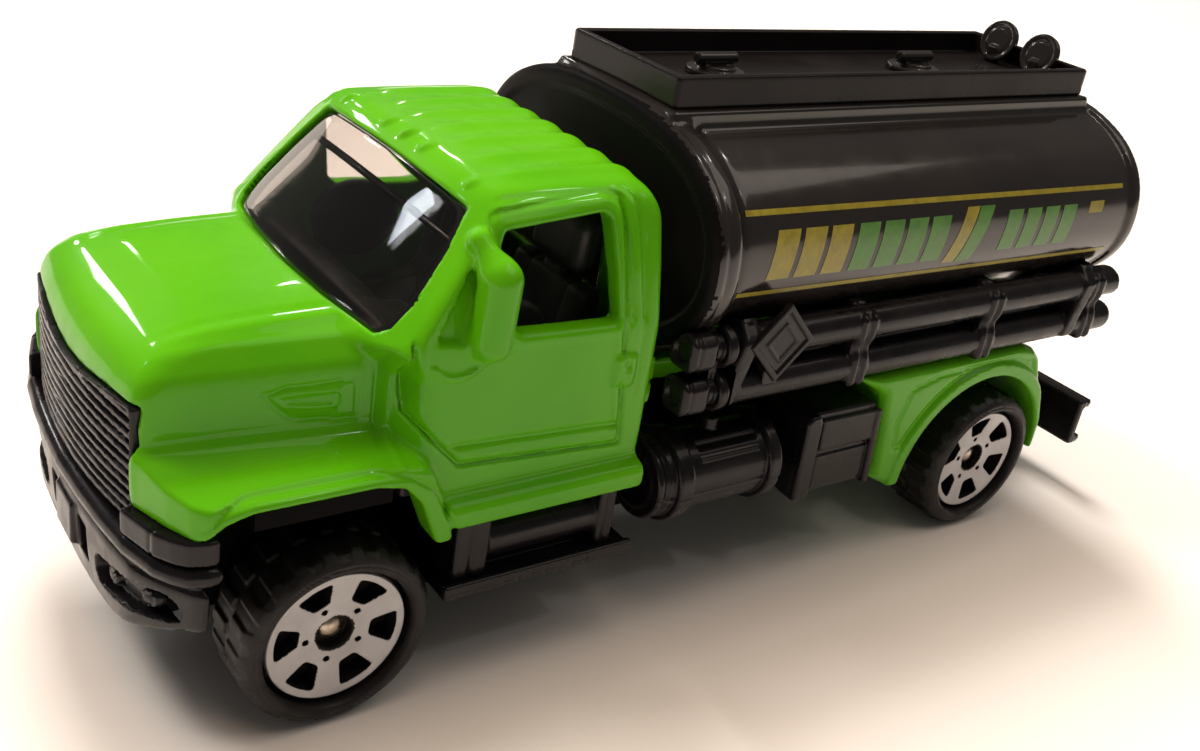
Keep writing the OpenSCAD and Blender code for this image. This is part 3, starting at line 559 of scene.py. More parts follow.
def off_screen(u, y, depth, inward=0.0):
    """The point at u down the slope and y across, at a depth under the bowed surface."""
    n = math.sqrt((BOW_R + depth) ** 2 - y * y) - BOW_AXIS - inward
    return (SCREEN_TOP[0] + SCREEN_DIR[0] * u - SCREEN_DIR[1] * n, y,
            SCREEN_TOP[1] + SCREEN_DIR[1] * u + SCREEN_DIR[0] * n)


def make_windscreen():
    """A bowed clear sheet built in rings from its outline; its outer rings, side edges and top rib take a dark
    material, painted shade for edges seen through the thick moulding.
    """
    outer = np.array(whole(screen_half(-0.07)))
    seg = np.array([a + (b - a) * t for a, b in zip(np.roll(outer, 1, 0), outer) for t in np.arange(0, 1, 1 / 8)])
    for _ in range(2):
        seg = (seg + 0.5 * np.roll(seg, 1, 0) + 0.5 * np.roll(seg, -1, 0)) / 2
    seg *= 1 + 0.07 / 9.6
    mid = np.array([0, SCREEN_LEN / 2])
    rings = [1.0, 0.992, 0.982, 0.965, 0.9, 0.8, 0.65, 0.5, 0.35, 0.2, 0.08]
    # the outermost rings are painted shade, dark as the thick edges of the moulding look
    shaded_rings = 3
    v = []
    for depth, size, edge in ((PANE_FRONT, 1, 0.12), (PANE_BACK, 0.995, 0)):
        for r in rings:
            inward = edge * max(0, (r - 0.955) / 0.045) ** 2
            v += [off_screen(u, y, depth, inward) for y, u in mid + (seg - mid) * r * size]
        v.append(off_screen(mid[1], 0, depth))
    k, m = len(seg), len(rings)
    faces, mi = [], []
    base = k * m + 1
    for layer in (0, 1):
        turn = -1 if layer == 0 else 1
        for r in range(m):
            for i in range(k):
                a, b = (layer * base + r * k + e for e in (i, (i + 1) % k))
                faces.append(([a, b, b + k, a + k] if r < m - 1 else [a, b, layer * base + base - 1])[::turn])
                mi.append(int(r < shaded_rings))
    # the side edges take the painted-shade material too
    for i in range(k):
        j = (i + 1) % k
        faces.append([i, j, base + j, base + i])
        mi.append(1)
    # a moulded rib along the top of its back face, dark with the same painted shade
    n0, ys = len(v), np.linspace(-8.3, 8.3, 25)
    v += [off_screen(u, y, depth) for y in ys for u, depth in RIB_ROWS]
    last = n0 + 4 * (len(ys) - 1)
    for e in range(n0, last, 4):
        faces += [[e + i, e + (i + 1) % 4, e + (i + 1) % 4 + 4, e + i + 4] for i in range(4)]
    faces += [[n0 + 3, n0 + 2, n0 + 1, n0], [last, last + 1, last + 2, last + 3]]
    mi += [1] * (len(faces) - len(mi))
    ob = make("windscreen_pane", np.array(v), faces, None, ["glazing", "glazing_edge_shade"], mat_index=mi)
    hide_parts("windscreen")


make_windscreen()

BACK_GLASS = ((9.3, -6.45, 20.45), (9.9, 6.45, 25.55))


def back_glass(x, y, z):
    return rbox(x, y, z, *BACK_GLASS, 0.15)


carve("rear_pane", back_glass, 0.3, "glazing", ["rear_window"], box=BACK_GLASS)

seat_side = Outline([(11.6, 12.0), (17.4, 12.0), (17.8, 14.2), (17.6, 15.9), (14.0, 16.3), (13.2, 17.4), (12.5, 21.6),
                     (11.0, 21.6), (10.95, 15)], 0.2)


def cabin(x, y, z):
    a = np.abs(y)
    lo, hi = cabin_box
    d = rbox(x, y, z, lo, (hi[0], hi[1], 12.7), 0.15)
    s = smax(seat_side(x, z), slab(a, 1.3, 8.5), 0.7)
    s += groove(np.abs(slab(a, 3.0, 6.8)), 0.2, 0.25)
    hr = rbox(x - (z - 21) * -0.12, a, z, (10.9, 2.4, 21.9), (12.6, 7.3, 25.2), 0.8)
    neck = rbox(x, a, z, (11.2, 4.0, 20.8), (12.1, 5.8, 22.4), 0.2)
    d = smin(d, smin(smin(s, hr, 0.25), neck, 0.2), 0.2)
    hump = smax(np.hypot((x - 17.6) / 1.15, z - 19.6) - 2.45, slab(a, 8.3, 8.95), 0.25)
    d = smin(d, hump, 0.2)
    dash = smax(slab(y, -9.4, 9.4), np.hypot(x - 23.3, z - 16.4) - 3.6, 0.6)
    dash = smax(dash, x - 23.3, 0.3)
    dash = smin(dash, rbox(x, y, z, (19.9, 3.0, 17.6), (22.6, 6.8, 19.8), 0.5), 0.5)
    d = smin(d, dash, 0.3)
    return d


cabin_box = lohi("interior")
carve("cabin_insert", cabin, 0.26, "cabin_black", ["interior"])

WHEEL_LEAN = math.radians(55)


def wheel_rim(x, y, z):
    c, s = F(math.cos(WHEEL_LEAN)), F(math.sin(WHEEL_LEAN))
    u, v, w = x - 19.15, y - 4.9, z - 18.9
    p, q = u * c + w * s, -u * s + w * c
    r = np.hypot(p, v)
    d = np.hypot(r - 1.75, q) - 0.27
    for e in (0, math.radians(120), math.radians(240)):
        d = smin(d, capsule(p, v, q, (0, 0, 0), (1.7 * math.cos(e), 1.7 * math.sin(e), 0), 0.16), 0.1)
    d = smin(d, rod(p, v, q, 0, 0, 0.45, -0.3, 0.28, 0.1), 0.1)
    return smin(d, rod(p, v, q, 0, 0, 0.28, -1.2, 0, 0.05), 0.1)


carve("steering_wheel_rim", wheel_rim, 0.13, "cabin_black", ["steering_wheel"], eps=0.03)

# ---- bed and rear fenders ----

rear_side = Outline([(-8.3, 14.4), (-11.0, 12.9), (-11.7, 9.5), (-12.1, 6.2), (-13.8, 5.25), (-29.6, 5.0),
                     (-29.55, 7.8),
                     (-28.7, 10.0), (-28.0, 11.8), (-27.3, 13.3), (-26.4, 14.05), (-25.2, 14.45), (-12, 14.45)], 0.16)
ARCH_X, ARCH_R, ARCH_Z = -21.9, 7.3, WHEEL_Z - 0.05
panel = Outline([(-16.3, 13.6), (-13.6, 12.9), (-12.9, 10.4), (-13.4, 8.4), (-17, 10), (-20, 13.4), (-27.5, 11),
                 (-26.2, 13.2), (-24.5, 13.75)], 0.1)


def bed(x, y, z):
    a = np.abs(y)
    f = smax(rear_side(x, z), slab(a, 5, 12.3), 0.45)
    r = np.hypot(x - F(ARCH_X), z - F(ARCH_Z))
    f += 0.22 * ramp(r, ARCH_R + 0.9, ARCH_R + 1.15) * ramp(a, 11.4, 12.0)
    f += groove(smax(panel(x, z), F(ARCH_R + 1.25) - r, 0.2), 0.16, 0.2) * ramp(a, 11.2, 11.8)
    f = smax(f, -smax(r - F(ARCH_R), 7.15 - a, 0.1), 0.3)
    f = smax(f, -np.maximum(np.maximum(slab(x, -30.5, -8), slab(a, 4, 7.15)), z - 13.0), 0.15)
    f = smax(f, 5.25 - z, 0.35)
    d = smin(f, rbox(x, a, z, (-33, -5, 13.0), (9.0, 5.2, 14.4), 0.2), 0.2)
    d = smin(d, rbox(x, a, z, (7.0, 5, 13.2), (9.0, 6.2, 17.7), 0.2), 0.15)
    d = smin(d, rbox(x, a, z, (7.7, 5, 14.8), (9.0, 10.2, 17.7), 0.2), 0.15)
    d += groove(z - 16.2, 0.14, 0.14) * ramp(a, 9.4, 9.8)
    return smin(d, rbox(x, a, z, (-30.5, 5, 13.0), (-29, 7.15, 14.4), 0.2), 0.2)


carve("bed_casting", bed, 0.22, "green_enamel", ["rear_frame"], eps=0.04)

# ---- nose ----

GRILLE_R, SLAT_STEP = 36.0, 0.56


def grille(x, y, z):
    d = smax(grille_hole(y, z) + 0.06, 35.3 - x, 0.1)
    r = np.hypot(x - F(37.45 - GRILLE_R), y)
    face = r - F(GRILLE_R)
    row = (z - 12.3 + np.abs(y) * 0.02) / SLAT_STEP
    row = row - np.floor(row)
    slat = np.abs(row - 0.5) * 2
    face += 0.34 * ramp(slat, 0.45, 0.75) * ramp(grille_hole(y, z), -0.15, -0.45)
    return smax(d, face, 0.1)


carve("grille_insert", grille, 0.13, "chassis_black", ["grille"], eps=0.03)

nose = lohi("front_bumper")[1][0]
lip_plan = Outline(whole([(12.52, 33.6), (12.52, 34.4), (12.2, 35.35), (11.6, 35.95), (10.7, 36.55), (8.4, 37.25),
                          (5.7, 37.6), (3, 37.8), (0, nose + 0.02)]), 0.12)
bumper_half = Outline(whole([(12.5, 14), (12.5, 8.3), (11.8, 7.6), (9.5, 6.7), (6.5, 5.95), (3, 5.3), (0, 5.0)]),
                      0.12)
bumper_side = Outline([(33, 4.4), (36.85, 4.4), (37.5, 9), (37.5, 12.5), (33, 12.5)], 0.1)


FOG_LAMPS = ((6.0, 7.95), (9.1, 8.45))


def bumper(x, y, z):
    a = np.abs(y)
    lip = smax(lip_plan(y, x), slab(z, 10.65, 11.85), 0.75)
    d = smax(smax(lip_plan(y, x) + 0.45, bumper_half(y, z), 0.35), bumper_side(x, z), 0.25)
    # the slanted corner, leaning back towards its foot
    q = (x - 35.9) * 0.80 + (a - 10.4) * 0.6 - (z - 10.5) * 0.12
    d = smax(d, q, 0.6)
    d = smax(d, z - 11.2, 0.3)
    d += groove(z - 10.25, 0.22, 0.28)
    d = smin(d, lip, 0.3)
    d = smax(d, -rbox(x, y, z, (30, -10.9, 2), (35.0, 10.9, 12.5), 0.3), 0.2)
    # fog lamp recess: one long slanted oval with two round lamps
    t = np.clip((a - 5.2) / 4.9, 0, 1)
    oval = np.hypot(a - (5.2 + t * 4.9), z - (7.75 + t * 0.85)) - 0.82
    d += 0.7 * ramp(oval, 0.1, -0.12) * ramp(x, 34.0, 34.6)
    for ly, lz in FOG_LAMPS:
        rr = np.hypot(a - F(ly), z - F(lz))
        d -= 0.5 * ramp(rr, 0.66, 0.4) * ramp(x, 34.0, 34.6)
        d += groove(rr - 0.34, 0.08, 0.09) * ramp(x, 34.0, 34.6)
    # centre block and slots
    d = smin(d, rbox(x, y, z, (36.2, -1.45, 6.9), (37.62, 1.45, 9.5), 0.25), 0.15)
    d = smax(d, -rbox(x, a, z, (36.3, 1.65, 6.9), (39, 3.1, 9.1), 0.2), 0.12)
    return d


carve("bumper_moulding", bumper, 0.17, "chassis_black", ["front_bumper"], eps=0.035)


def lamp(x, y, z):
    d = smax(lip_plan(y, x) + 0.16, slab(z, 11.9, 13.35), 0.3)
    d = smax(d, np.maximum(slab(y, 8.1, 12.6), 33.2 - x), 0.12)
    d += groove(y - 10.4, 0.05, 0.12)
    return d


ll, lh = lohi("headlamp_left")
carve("headlamp_panel_left", lamp, 0.12, "chassis_black", ["headlamp_left"],
      ("headlamp_panel_right", ["headlamp_right"]), eps=0.03, box=(ll - (1, 0, 0.1), lh + (0.4, 0.6, 0.1)))

# ---- side equipment ----


def step(x, y, z):
    d = rbox(x, y, z, (8.9, 7.9, 6.05), (21.4, 12.4, 6.68), 0.18)
    d = smin(d, rbox(x, y, z, (8.9, 11.95, 6.2), (21.4, 12.4, 6.95), 0.15), 0.1)
    d = smin(d, rbox(x, y, z, (10.1, 7.9, 6.5), (20.7, 10.7, SILL_Z), 0.2), 0.15)
    for a, b2 in ((10.1, 11.3), (18.5, 20.7)):
        post = rbox(x, y, z, (a, 10.2, 6.5), (b2, 11.8, SILL_Z), 0.25)
        post += groove(np.abs(x - (a + b2) / 2), 0.10, 0.16) * ramp(y, 11.2, 11.6)
        d = smin(d, post, 0.12)
    d = smin(d, rod(y, z, x, 10.3, 8.45, 1.3, 11.2, 18.6, 0.1), 0.2)
    d += groove(z - 9.95, 0.12, 0.12) * ramp(y, 10.2, 10.5) * ramp(x, 11.2, 11.5) * ramp(x, 18.6, 18.3)
    d += groove(z - 6.36, 0.08, 0.1) * ramp(y, 12.1, 12.3)
    for gx in np.arange(12.2, 18.2, 0.9):
        d += groove(x - gx, 0.05, 0.12) * ramp(y, 11.1, 11.4) * ramp(z, 6.9, 6.6)
    return d


carve("step_left", step, 0.15, "chassis_black", ["step_box_left"], ("step_right", ["step_box_right"]), eps=0.035)

DRUM_Y, DRUM_Z = 9.7, 9.4


def drum(x, y, z):
    rr = np.hypot(y - F(DRUM_Y), z - F(DRUM_Z))
    d = rod(y, z, x, DRUM_Y, DRUM_Z, 2.6, -2.4, 7.4, 0.28)
    for a, b2 in ((4.9, 6.1), (-2.1, -1.1)):
        band = rod(y, z, x, DRUM_Y, DRUM_Z, 3.0, a, b2, 0.2)
        band = smax(band, -rbox(x, y, z, (-3, 6.7, 8.1), (8, 8.7, 10.7), 0.1), 0.1)
        d = smin(d, band, 0.15)
    d += groove(x - 6.75, 0.16, 0.16) * ramp(rr, 2.2, 2.5)
    d -= groove(rr - 1.7, 0.12, 0.22) * ramp(x, 7.0, 7.3)
    d += groove(z - 9.0, 0.09, 0.1) * ramp(y, 11.4, 11.8)
    for sz in (11.0, 11.55):
        d += groove(np.abs(z - F(sz)) + ramp(np.abs(x - 1.7), 2.3, 2.6), 0.13, 0.13) * ramp(y, 9.8, 10.2)
    d = smin(d, rod(x, y, z, 2.2, DRUM_Y, 0.6, 11.6, 12.78, 0.12), 0.12)
    return d


carve("drum_left", drum, 0.15, "chassis_black", ["fuel_tank_left"], ("drum_right", ["fuel_tank_right"]), eps=0.035)

box_side = Outline([(-11.38, 6.42), (-4.3, 6.42), (-4.02, 12.1), (-4.4, 12.58), (-10.4, 12.5), (-10.9, 12.0)], 0.07,
                   0.05)
box_post = Outline([(-5.75, 6.3), (-4.35, 6.3), (-4.05, 12.1), (-4.4, 12.55), (-5.1, 12.6), (-5.45, 12.1)], 0.07,
                   0.05)
box_back = Outline([(-11.38, 6.32), (-10.75, 6.32), (-10.3, 12.2), (-10.9, 12.0)], 0.07, 0.05)
box_face = Outline([(-10.9, 9.75), (-5.8, 9.75), (-5.6, 12.1), (-10.6, 12.05)], 0.07, 0.05)
box_low = Outline([(-10.9, 6.75), (-5.95, 6.75), (-5.85, 9.35), (-10.85, 9.35)], 0.07, 0.05)


BOX_PARTS = ((box_post, 10.5, 12.25, 0.3, 0.08), (box_back, 10.5, 12.25, 0.25, 0.08),
             (box_face, 10.5, 12.1, 0.2, 0.06), (box_low, 10.5, 11.95, 0.2, 0.06))


def toolbox(x, y, z):
    d = smax(box_side(x, z), slab(y, 6.9, 11.8), 0.3)
    for shape, y0, y1, corner, join in BOX_PARTS:
        d = smin(d, smax(shape(x, z), slab(y, y0, y1), corner), join)
    return d


carve("toolbox_case_left", toolbox, 0.13, "chassis_black", ["toolbox_left"],
      ("toolbox_case_right", ["toolbox_right"]), eps=0.03)


def beam(x, y, z):
    lo, hi = beam_box
    d = rbox(x, y, z, (-37.15, lo[1], lo[2]), hi, 0.12)
    for a, b2 in ((lo[2], lo[2] + 0.62), (hi[2] - 0.62, hi[2])):
        d = smin(d, rbox(x, y, z, (lo[0], lo[1], a), (-36.9, hi[1], b2), 0.14), 0.15)
    ya = np.abs(y)
    d = smin(d, rbox(x, ya, z, (lo[0] + 0.2, 7.0, 4.1), (-36.9, 9.0, 6.9), 0.2), 0.12)
    d += groove(np.hypot(ya - 8.0, z - 5.5) - 0.62, 0.10, 0.12) * ramp(x, -37.3, -37.6)
    return d


beam_box = lohi("rear_bumper")
carve("rear_beam", beam, 0.2, "chassis_black", ["rear_bumper"], eps=0.04)

# ---- tank ----

TANK_Z, PLINTH_Z = 23.0, 30.6


UPPER, LOWER = 2.4, 2.0  # powers of the rounded square above its widest line, and of the ellipse below it


def section(a, b, n=180):
    """Outline of the barrel with half width a and half height b."""
    out = []
    for i in range(n):
        t = 2 * math.pi * i / n
        c, s = math.cos(t), math.sin(t)
        e = 2 / (UPPER if s > 0 else LOWER)
        out.append((a * math.copysign(abs(c) ** e, c), TANK_Z + b * math.copysign(abs(s) ** e, s)))
    return out


BARREL_A, BARREL_B = 11.7, 7.2
barrel = Outline(section(BARREL_A, BARREL_B), 0.1, 0.06)
collar = Outline(section(12.6, 7.6), 0.1, 0.06)
REAR_FACE, FRONT_FACE = (corner[0] for corner in lohi("tank_shell"))


def tank(x, y, z):
    br, cl = barrel(y, z), collar(y, z)
    d = smax(br, slab(x, REAR_FACE, 5.5), 1.9)
    ring = smax(br - 0.26, slab(x, -33.4, -32.3), 0.4)
    d = smin(d, ring, 0.25)
    c = smax(cl, slab(x, 4.75, FRONT_FACE), 0.75)
    d = smin(d, c, 0.3)
    d += groove(np.abs(x - 4.35), 0.16, 0.2)
    d += groove(np.abs(x - F(FRONT_FACE - 0.95)), 0.06, 0.2) * ramp(cl, -0.6, -0.2)
    # the front face is dished a little inside the collar
    d += 0.3 * ramp(cl, -1.0, -1.5) * ramp(x, 6.1, 6.6)
    a = np.abs(y)
    top = rbox(x, a, z, (-32.2, -1, 28), (FRONT_FACE - 0.75, 5.9, PLINTH_Z), 0.22)
    d = smin(d, top, 0.45)
    return smin(d, rbox(x, a, z, (-32.0, -1, 14.4), (4.0, 4.4, 18), 0.2), 0.3)


# the front face takes the painted-shade copy of the tank plastic
carve("tank_moulding", tank, 0.24, ["tank_gloss", "tank_face"], ["tank_shell"], eps=0.05,
      index=lambda c: (c[:, 0] > FRONT_FACE - 0.45).astype(int))


def rim(x, y, z):
    lo, hi = coaming_box
    d = rbox(x, y, z, lo, hi, 0.16)
    d = smin(d, rbox(x, y, z, lo, (hi[0], hi[1], lo[2] + 0.42), 0.12), 0.1)
    return smax(d, -rbox(x, y, z, (-31.4, -4.75, 31.0), (5.15, 4.75, 40), 0.15), 0.14)


coaming_box = lohi("coaming")
carve("walkway_rim", rim, 0.2, ["tank_gloss", "rim_black"], ["coaming"], eps=0.04,
      index=lambda c: np.ones(len(c), int))


HATCH_XS = (-1.5, -19.5)
CAP_LEAN = math.radians(72)


def lids(x, y, z):
    parts = []
    for cx in HATCH_XS:
        e = rod(x, y, z, cx, 0, 1.9, 31.0, 31.38, 0.12)
        e = smin(e, rod(x, y, z, cx, 0, 1.2, 31.0, 31.62, 0.15), 0.1)
        for dx in (-0.9, 0.9):
            e = smin(e, rbox(x, y, z, (cx + dx - 0.22, -0.28, 31.0), (cx + dx + 0.22, 0.28, 32.1), 0.1), 0.08)
        e = smin(e, rod(y, z, x, 0, 32.0, 0.38, cx - 1.5, cx + 1.7, 0.15), 0.1)
        parts.append(e)
    return np.minimum(*parts)


carve("hatch_lids", lids, 0.13, "tank_gloss", ["hatches"], eps=0.03)


def vents(x, y, z):
    a = np.abs(y)
    c, s = F(math.cos(CAP_LEAN)), F(math.sin(CAP_LEAN))
    px, pz = x + 30.6, z - 32.55
    n, u = px * s + pz * c, px * c - pz * s
    r = np.hypot(u, a - 1.9)
    d = rod(u, a, n, 0, 1.9, 1.52, -0.25, 0.25, 0.1)
    d += groove(r - 1.1, 0.08, 0.14)
    return smin(d, rbox(x, a, z, (-30.8, 1.5, 31.0), (-30.0, 2.3, 32.2), 0.15), 0.15)


carve("vent_caps", vents, 0.12, "tank_gloss", ["vent_discs"], eps=0.03)

# ---- pipes, couplings and placards ----

PIPE_Y, PIPE_R, PIPE_ZS = 11.55, 1.1, (18.7, 15.9)
CLAMP_XS = (-6.8, -19.1, -30.4)
END_STRAPS = ((3.0, 3.9, 20.6), (-28.3, -29.2, 20.4))  # (x, x, top)


def pipes(x, y, z):
    d = np.minimum(*[rod(y, z, x, PIPE_Y, pz, PIPE_R, -33.6, 3.8, 0.7) for pz in PIPE_ZS])
    d = smin(d, rbox(x, y, z, (-31.2, 10.2, 16.2), (4.4, 11.2, 18.4), 0.2), 0.25)
    for x0, x1, zt in END_STRAPS:
        mid_x = F((x0 + x1) / 2) - (z - 17.5) * 0.30
        s = np.abs(x - mid_x) - 0.62
        s = smax(s, slab(z, 15.2, zt), 0.3)
        s = smax(s, slab(y, 10.0, PIPE_Y + PIPE_R + 0.13) + ramp(z, 19.0, 20.6) * 1.3, 0.3)
        d = smin(d, s, 0.1)
        for bz, by in ((17.35, PIPE_Y + PIPE_R + 0.1), (19.75, PIPE_Y + 0.3)):
            b = rod(x, z, y, (x0 + x1) / 2 - (bz - 17.5) * 0.3, bz, 0.42, by - 1.2, by + 0.05, 0.15)
            d = smin(d, b, 0.08)
    for cx in CLAMP_XS:
        e = rbox(x, y, z, (cx - 0.8, 8.4, 14.65), (cx + 0.8, PIPE_Y + PIPE_R + 0.14, 19.6), 0.45)
        e = smin(e, rbox(x, y, z, (cx - 0.75, 8.4, 18.6), (cx + 0.75, 11.5, 20.0), 0.4), 0.3)
        e += groove(x - cx, 0.22, 0.2) * ramp(y, 11.0, 12.0)
        e += groove(z - 17.3, 0.25, 0.5) * ramp(y, 12.1, 12.6)
        e = smin(e, rbox(x, y, z, (cx - 0.8, 4.4, 14.65), (cx + 0.8, 9, 17.2), 0.2), 0.2)
        d = smin(d, e, 0.12)
    return smax(d, -barrel(y, z) + ramp(x, -32.2, -33.5) * 4, 0.05)


carve("pipes_left", pipes, 0.17, "chassis_black", ["pipe_rack_left"],
      ("pipes_right", ["pipe_rack_right"]), eps=0.035)


def couplings(x, y, z):
    parts = []
    for pz in PIPE_ZS:
        e = rbox(x, y, z, (5.35, PIPE_Y - 1.12, pz - 1.15), (7.3, PIPE_Y + 1.12, pz + 1.15), 0.42)
        e = smax(e, (np.abs(y - F(PIPE_Y)) + np.abs(z - F(pz))) * 0.7071 - 1.28, 0.15)
        e += 0.35 * ramp(np.hypot(y - F(PIPE_Y), z - F(pz)), 0.72, 0.5) * ramp(x, 6.8, 7.2)
        e += groove(x - 6.75, 0.07, 0.12)
        e = smin(e, rod(y, z, x, PIPE_Y, pz, 0.88, 4.3, 5.8, 0.1), 0.12)
        e = smin(e, rod(y, z, x, PIPE_Y, pz, 1.3, 4.0, 4.75, 0.2), 0.1)
        parts.append(e)
    d = np.minimum(*parts)
    d = smin(d, rbox(x, y, z, (4.5, PIPE_Y - 0.35, PIPE_ZS[1]), (5.2, PIPE_Y + 0.35, PIPE_ZS[0]), 0.12), 0.15)
    return smax(d, -collar(y, z), 0.05)


carve("couplings_left", couplings, 0.12, "chassis_black", ["valves_left"],
      ("couplings_right", ["valves_right"]), eps=0.03)

PLATE_X, PLATE_Z, PLATE_Y = 0.7, 18.9, lohi("placard_left")[1][1]


def plate(x, y, z):
    u, v = np.abs(x - F(PLATE_X)), np.abs(z - F(PLATE_Z))
    dia = (u / 2.5 + v / 2.55 - 1) * 1.785
    d = smax(dia, slab(y, PLATE_Y - 0.42, PLATE_Y), 0.12)
    d += 0.13 * ramp(dia, -0.34, -0.46) * ramp(y, PLATE_Y - 0.3, PLATE_Y - 0.1)
    d -= groove(dia + 0.95, 0.10, 0.12) * ramp(y, PLATE_Y - 0.3, PLATE_Y - 0.1) * ramp(v, 1.6, 1.2)
    s = rbox(x, y, z, (0.3, PIPE_Y - 0.6, PIPE_ZS[1]), (1.5, PLATE_Y - 0.25, PIPE_ZS[0]), 0.1)
    for pz in PIPE_ZS:
        s = np.maximum(s, F(PIPE_R) - np.hypot(y - F(PIPE_Y), z - F(pz)))
    return smin(d, s, 0.05)


carve("plate_left", plate, 0.12, "chassis_black", ["placard_left"], ("plate_right", ["placard_right"]), eps=0.03)

# ---- wheels ----

tyre_lo, tyre_hi = lohi("tyre_front_left")
T_IN, T_OUT = tyre_lo[1], tyre_hi[1]
WHEEL_R = (tyre_hi[0] - tyre_lo[0]) / 2
LUGS, SPOKES, RIVETS = 22, 6, 5
tread = Outline([(4.15, T_IN + 0.3), (4.4, T_IN), (4.75, T_IN + 0.05), (5.12, T_IN + 0.5), (5.2, T_OUT - 0.6),
                 (4.95, T_OUT - 0.2), (4.55, T_OUT + 0.01), (4.25, T_OUT - 0.1), (4.15, T_OUT - 0.35)], 0.07, 0.04,
                 1.5)


def tyre(x, y, z):
    r, th = np.hypot(x, z), np.arctan2(z, x)
    d = tread(r, y)
    d += groove(r - 4.62, 0.05, 0.07) * ramp(y, T_OUT - 0.4, T_OUT - 0.2)
    pitch = 2 * math.pi / LUGS
    for t0, t1, turn in ((T_IN + 0.35, T_IN + 2.3, 0.0), (T_OUT - 2.3, T_OUT - 0.28, 0.5)):
        s = np.abs((th / F(pitch) + F(turn)) % 1 - 0.5) * F(pitch) * r
        edge = 0.30 * ramp(np.abs(y - (T_IN + T_OUT) / 2), 1.55, 2.3)
        e = smax(s - (0.46 - 0.3 * (r - 4.9)), r - F(WHEEL_R) + edge, 0.12)
        e = smax(e, slab(y, t0, t1), 0.15)
        e = np.maximum(e, 4.75 - r)
        d = smin(d, e, 0.12)
    return d


disc_lo, disc_hi = lohi("disc_front_left")
D_OUT = disc_hi[1]
disc_prof = Outline([(0, T_IN + 0.15), (4.1, T_IN + 0.45), (4.1, D_OUT - 0.62), (3.88, D_OUT - 0.55), (3.86, D_OUT),
                     (3.25, D_OUT - 0.1), (2.2, D_OUT - 0.3), (1.5, D_OUT - 0.36), (-1, D_OUT - 0.36),
                     (-1, T_IN + 0.15)], 0.035, 0.03, 1.2)


def disc(x, y, z):
    r, th = np.hypot(x, z), np.arctan2(z, x)
    d = disc_prof(r, y)
    pitch = F(2 * math.pi / SPOKES)
    s6 = ((th / pitch) % 1 - 0.5) * pitch
    u, v = r * np.cos(s6), np.abs(r * np.sin(s6))
    w = smax(smax(2.0 - u, r - 3.42, 0.1), v - (0.46 + (u - 2.0) * 0.42), 0.22)
    d = smax(d, -np.maximum(w, F(D_OUT - 1.3) - y), 0.08)
    pitch = F(2 * math.pi / RIVETS)
    s5 = (((th + 0.3) / pitch) % 1 - 0.5) * pitch
    hole = np.hypot(r * np.cos(s5) - 1.62, r * np.sin(s5)) - 0.17
    d = smax(d, -np.maximum(hole, F(D_OUT - 0.9) - y), 0.04)
    hub = np.maximum(r - 1.0, F(D_OUT - 1.05) - y)
    d = smax(d, -hub, 0.06)
    return smax(d, 0.61 - r, 0.04)


def turned(p, turn):
    c, s = F(math.cos(turn)), F(math.sin(turn))
    q = p.copy()
    q[:, 0], q[:, 2] = p[:, 0] * c - p[:, 2] * s, p[:, 0] * s + p[:, 2] * c
    return q


p, q, nr = surface(tyre, (-WHEEL_R, T_IN, -WHEEL_R), (WHEEL_R, T_OUT, WHEEL_R), 0.12, 0.03)
pd, qd, nd = surface(disc, (-4.15, T_IN, -4.15), (4.15, D_OUT, 4.15), 0.085, 0.02)
print("piece tyre", len(q), "disc", len(qd))
fc = pd[qd].mean(1)
fr = np.hypot(fc[:, 0], fc[:, 2])
fn = nd[qd].mean(1)[:, 1]
dark = ((fc[:, 1] < D_OUT - 0.5) | ((fn < 0.5) & (fr < 3.6)) | (fr > 3.9) | (fr < 1.12)).astype(int)
TURN = {"front": math.radians(-24), "rear": math.radians(-10)}
ENDS = (("front", FRONT_X), ("rear", REAR_X))
for end, wx in ENDS:
    for side, sgn in (("left", 1), ("right", -1)):
        flip = np.array([1, sgn, 1], F)
        centre = np.array([wx, 0, WHEEL_Z], F)
        for kind, (v, f, n) in (("tyre", (p, q, nr)), ("disc", (pd, qd, nd))):
            disc_only = kind == "disc"
            turn = TURN[end] if disc_only else 0.0
            mats = ["silver_disc", "tyre_rubber"] if disc_only else ["tyre_rubber"]
            ob = make(f"{kind}_moulding_{end}_{side}", turned(v, turn) * flip + centre, f if sgn > 0 else f[:, ::-1],
                      turned(n, turn) * flip, mats, f"wheel_{end}_{side}", mat_index=dark if disc_only else None)
            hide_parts(f"{kind}_{end}_{side}")

# wire axles with domed, slightly spread ends
for end, wx in ENDS:
    axle_y = lohi(f"axle_{end}")[1][1]

    def axle(x, y, z):
        a = np.abs(y)
        d = rod(x, z, y, wx, WHEEL_Z, 0.55, -axle_y, axle_y, 0.1)
        head = smax(rod(x, z, y, wx, WHEEL_Z, 0.7, -axle_y, axle_y, 0.2), F(axle_y - 0.4) - a, 0.05)
        dome = np.sqrt((x - F(wx)) ** 2 + (z - F(WHEEL_Z)) ** 2 + (a - F(axle_y - 1.0)) ** 2) - 1.0
        return np.maximum(smin(d, head, 0.05), np.where(a > axle_y - 1.0, dome, -1))

    carve(f"axle_wire_{end}", axle, 0.12, "axle_steel", [f"axle_{end}"], eps=0.03)

# ---- printed stripes and blocks on the barrel ----


def barrel_y(z, lift):
    t = np.clip((z - TANK_Z) / (BARREL_B + lift), -1, 1)
    n = np.where(z > TANK_Z, UPPER, LOWER)
    return (BARREL_A + lift) * np.maximum(1 - np.abs(t) ** n, 0) ** (1 / n)


TILT = 0.015  # rise of the printed rows for each mm towards the nose
LIFT = 0.02  # the print's height over the barrel
LEAN = -0.55  # slant of the printed blocks


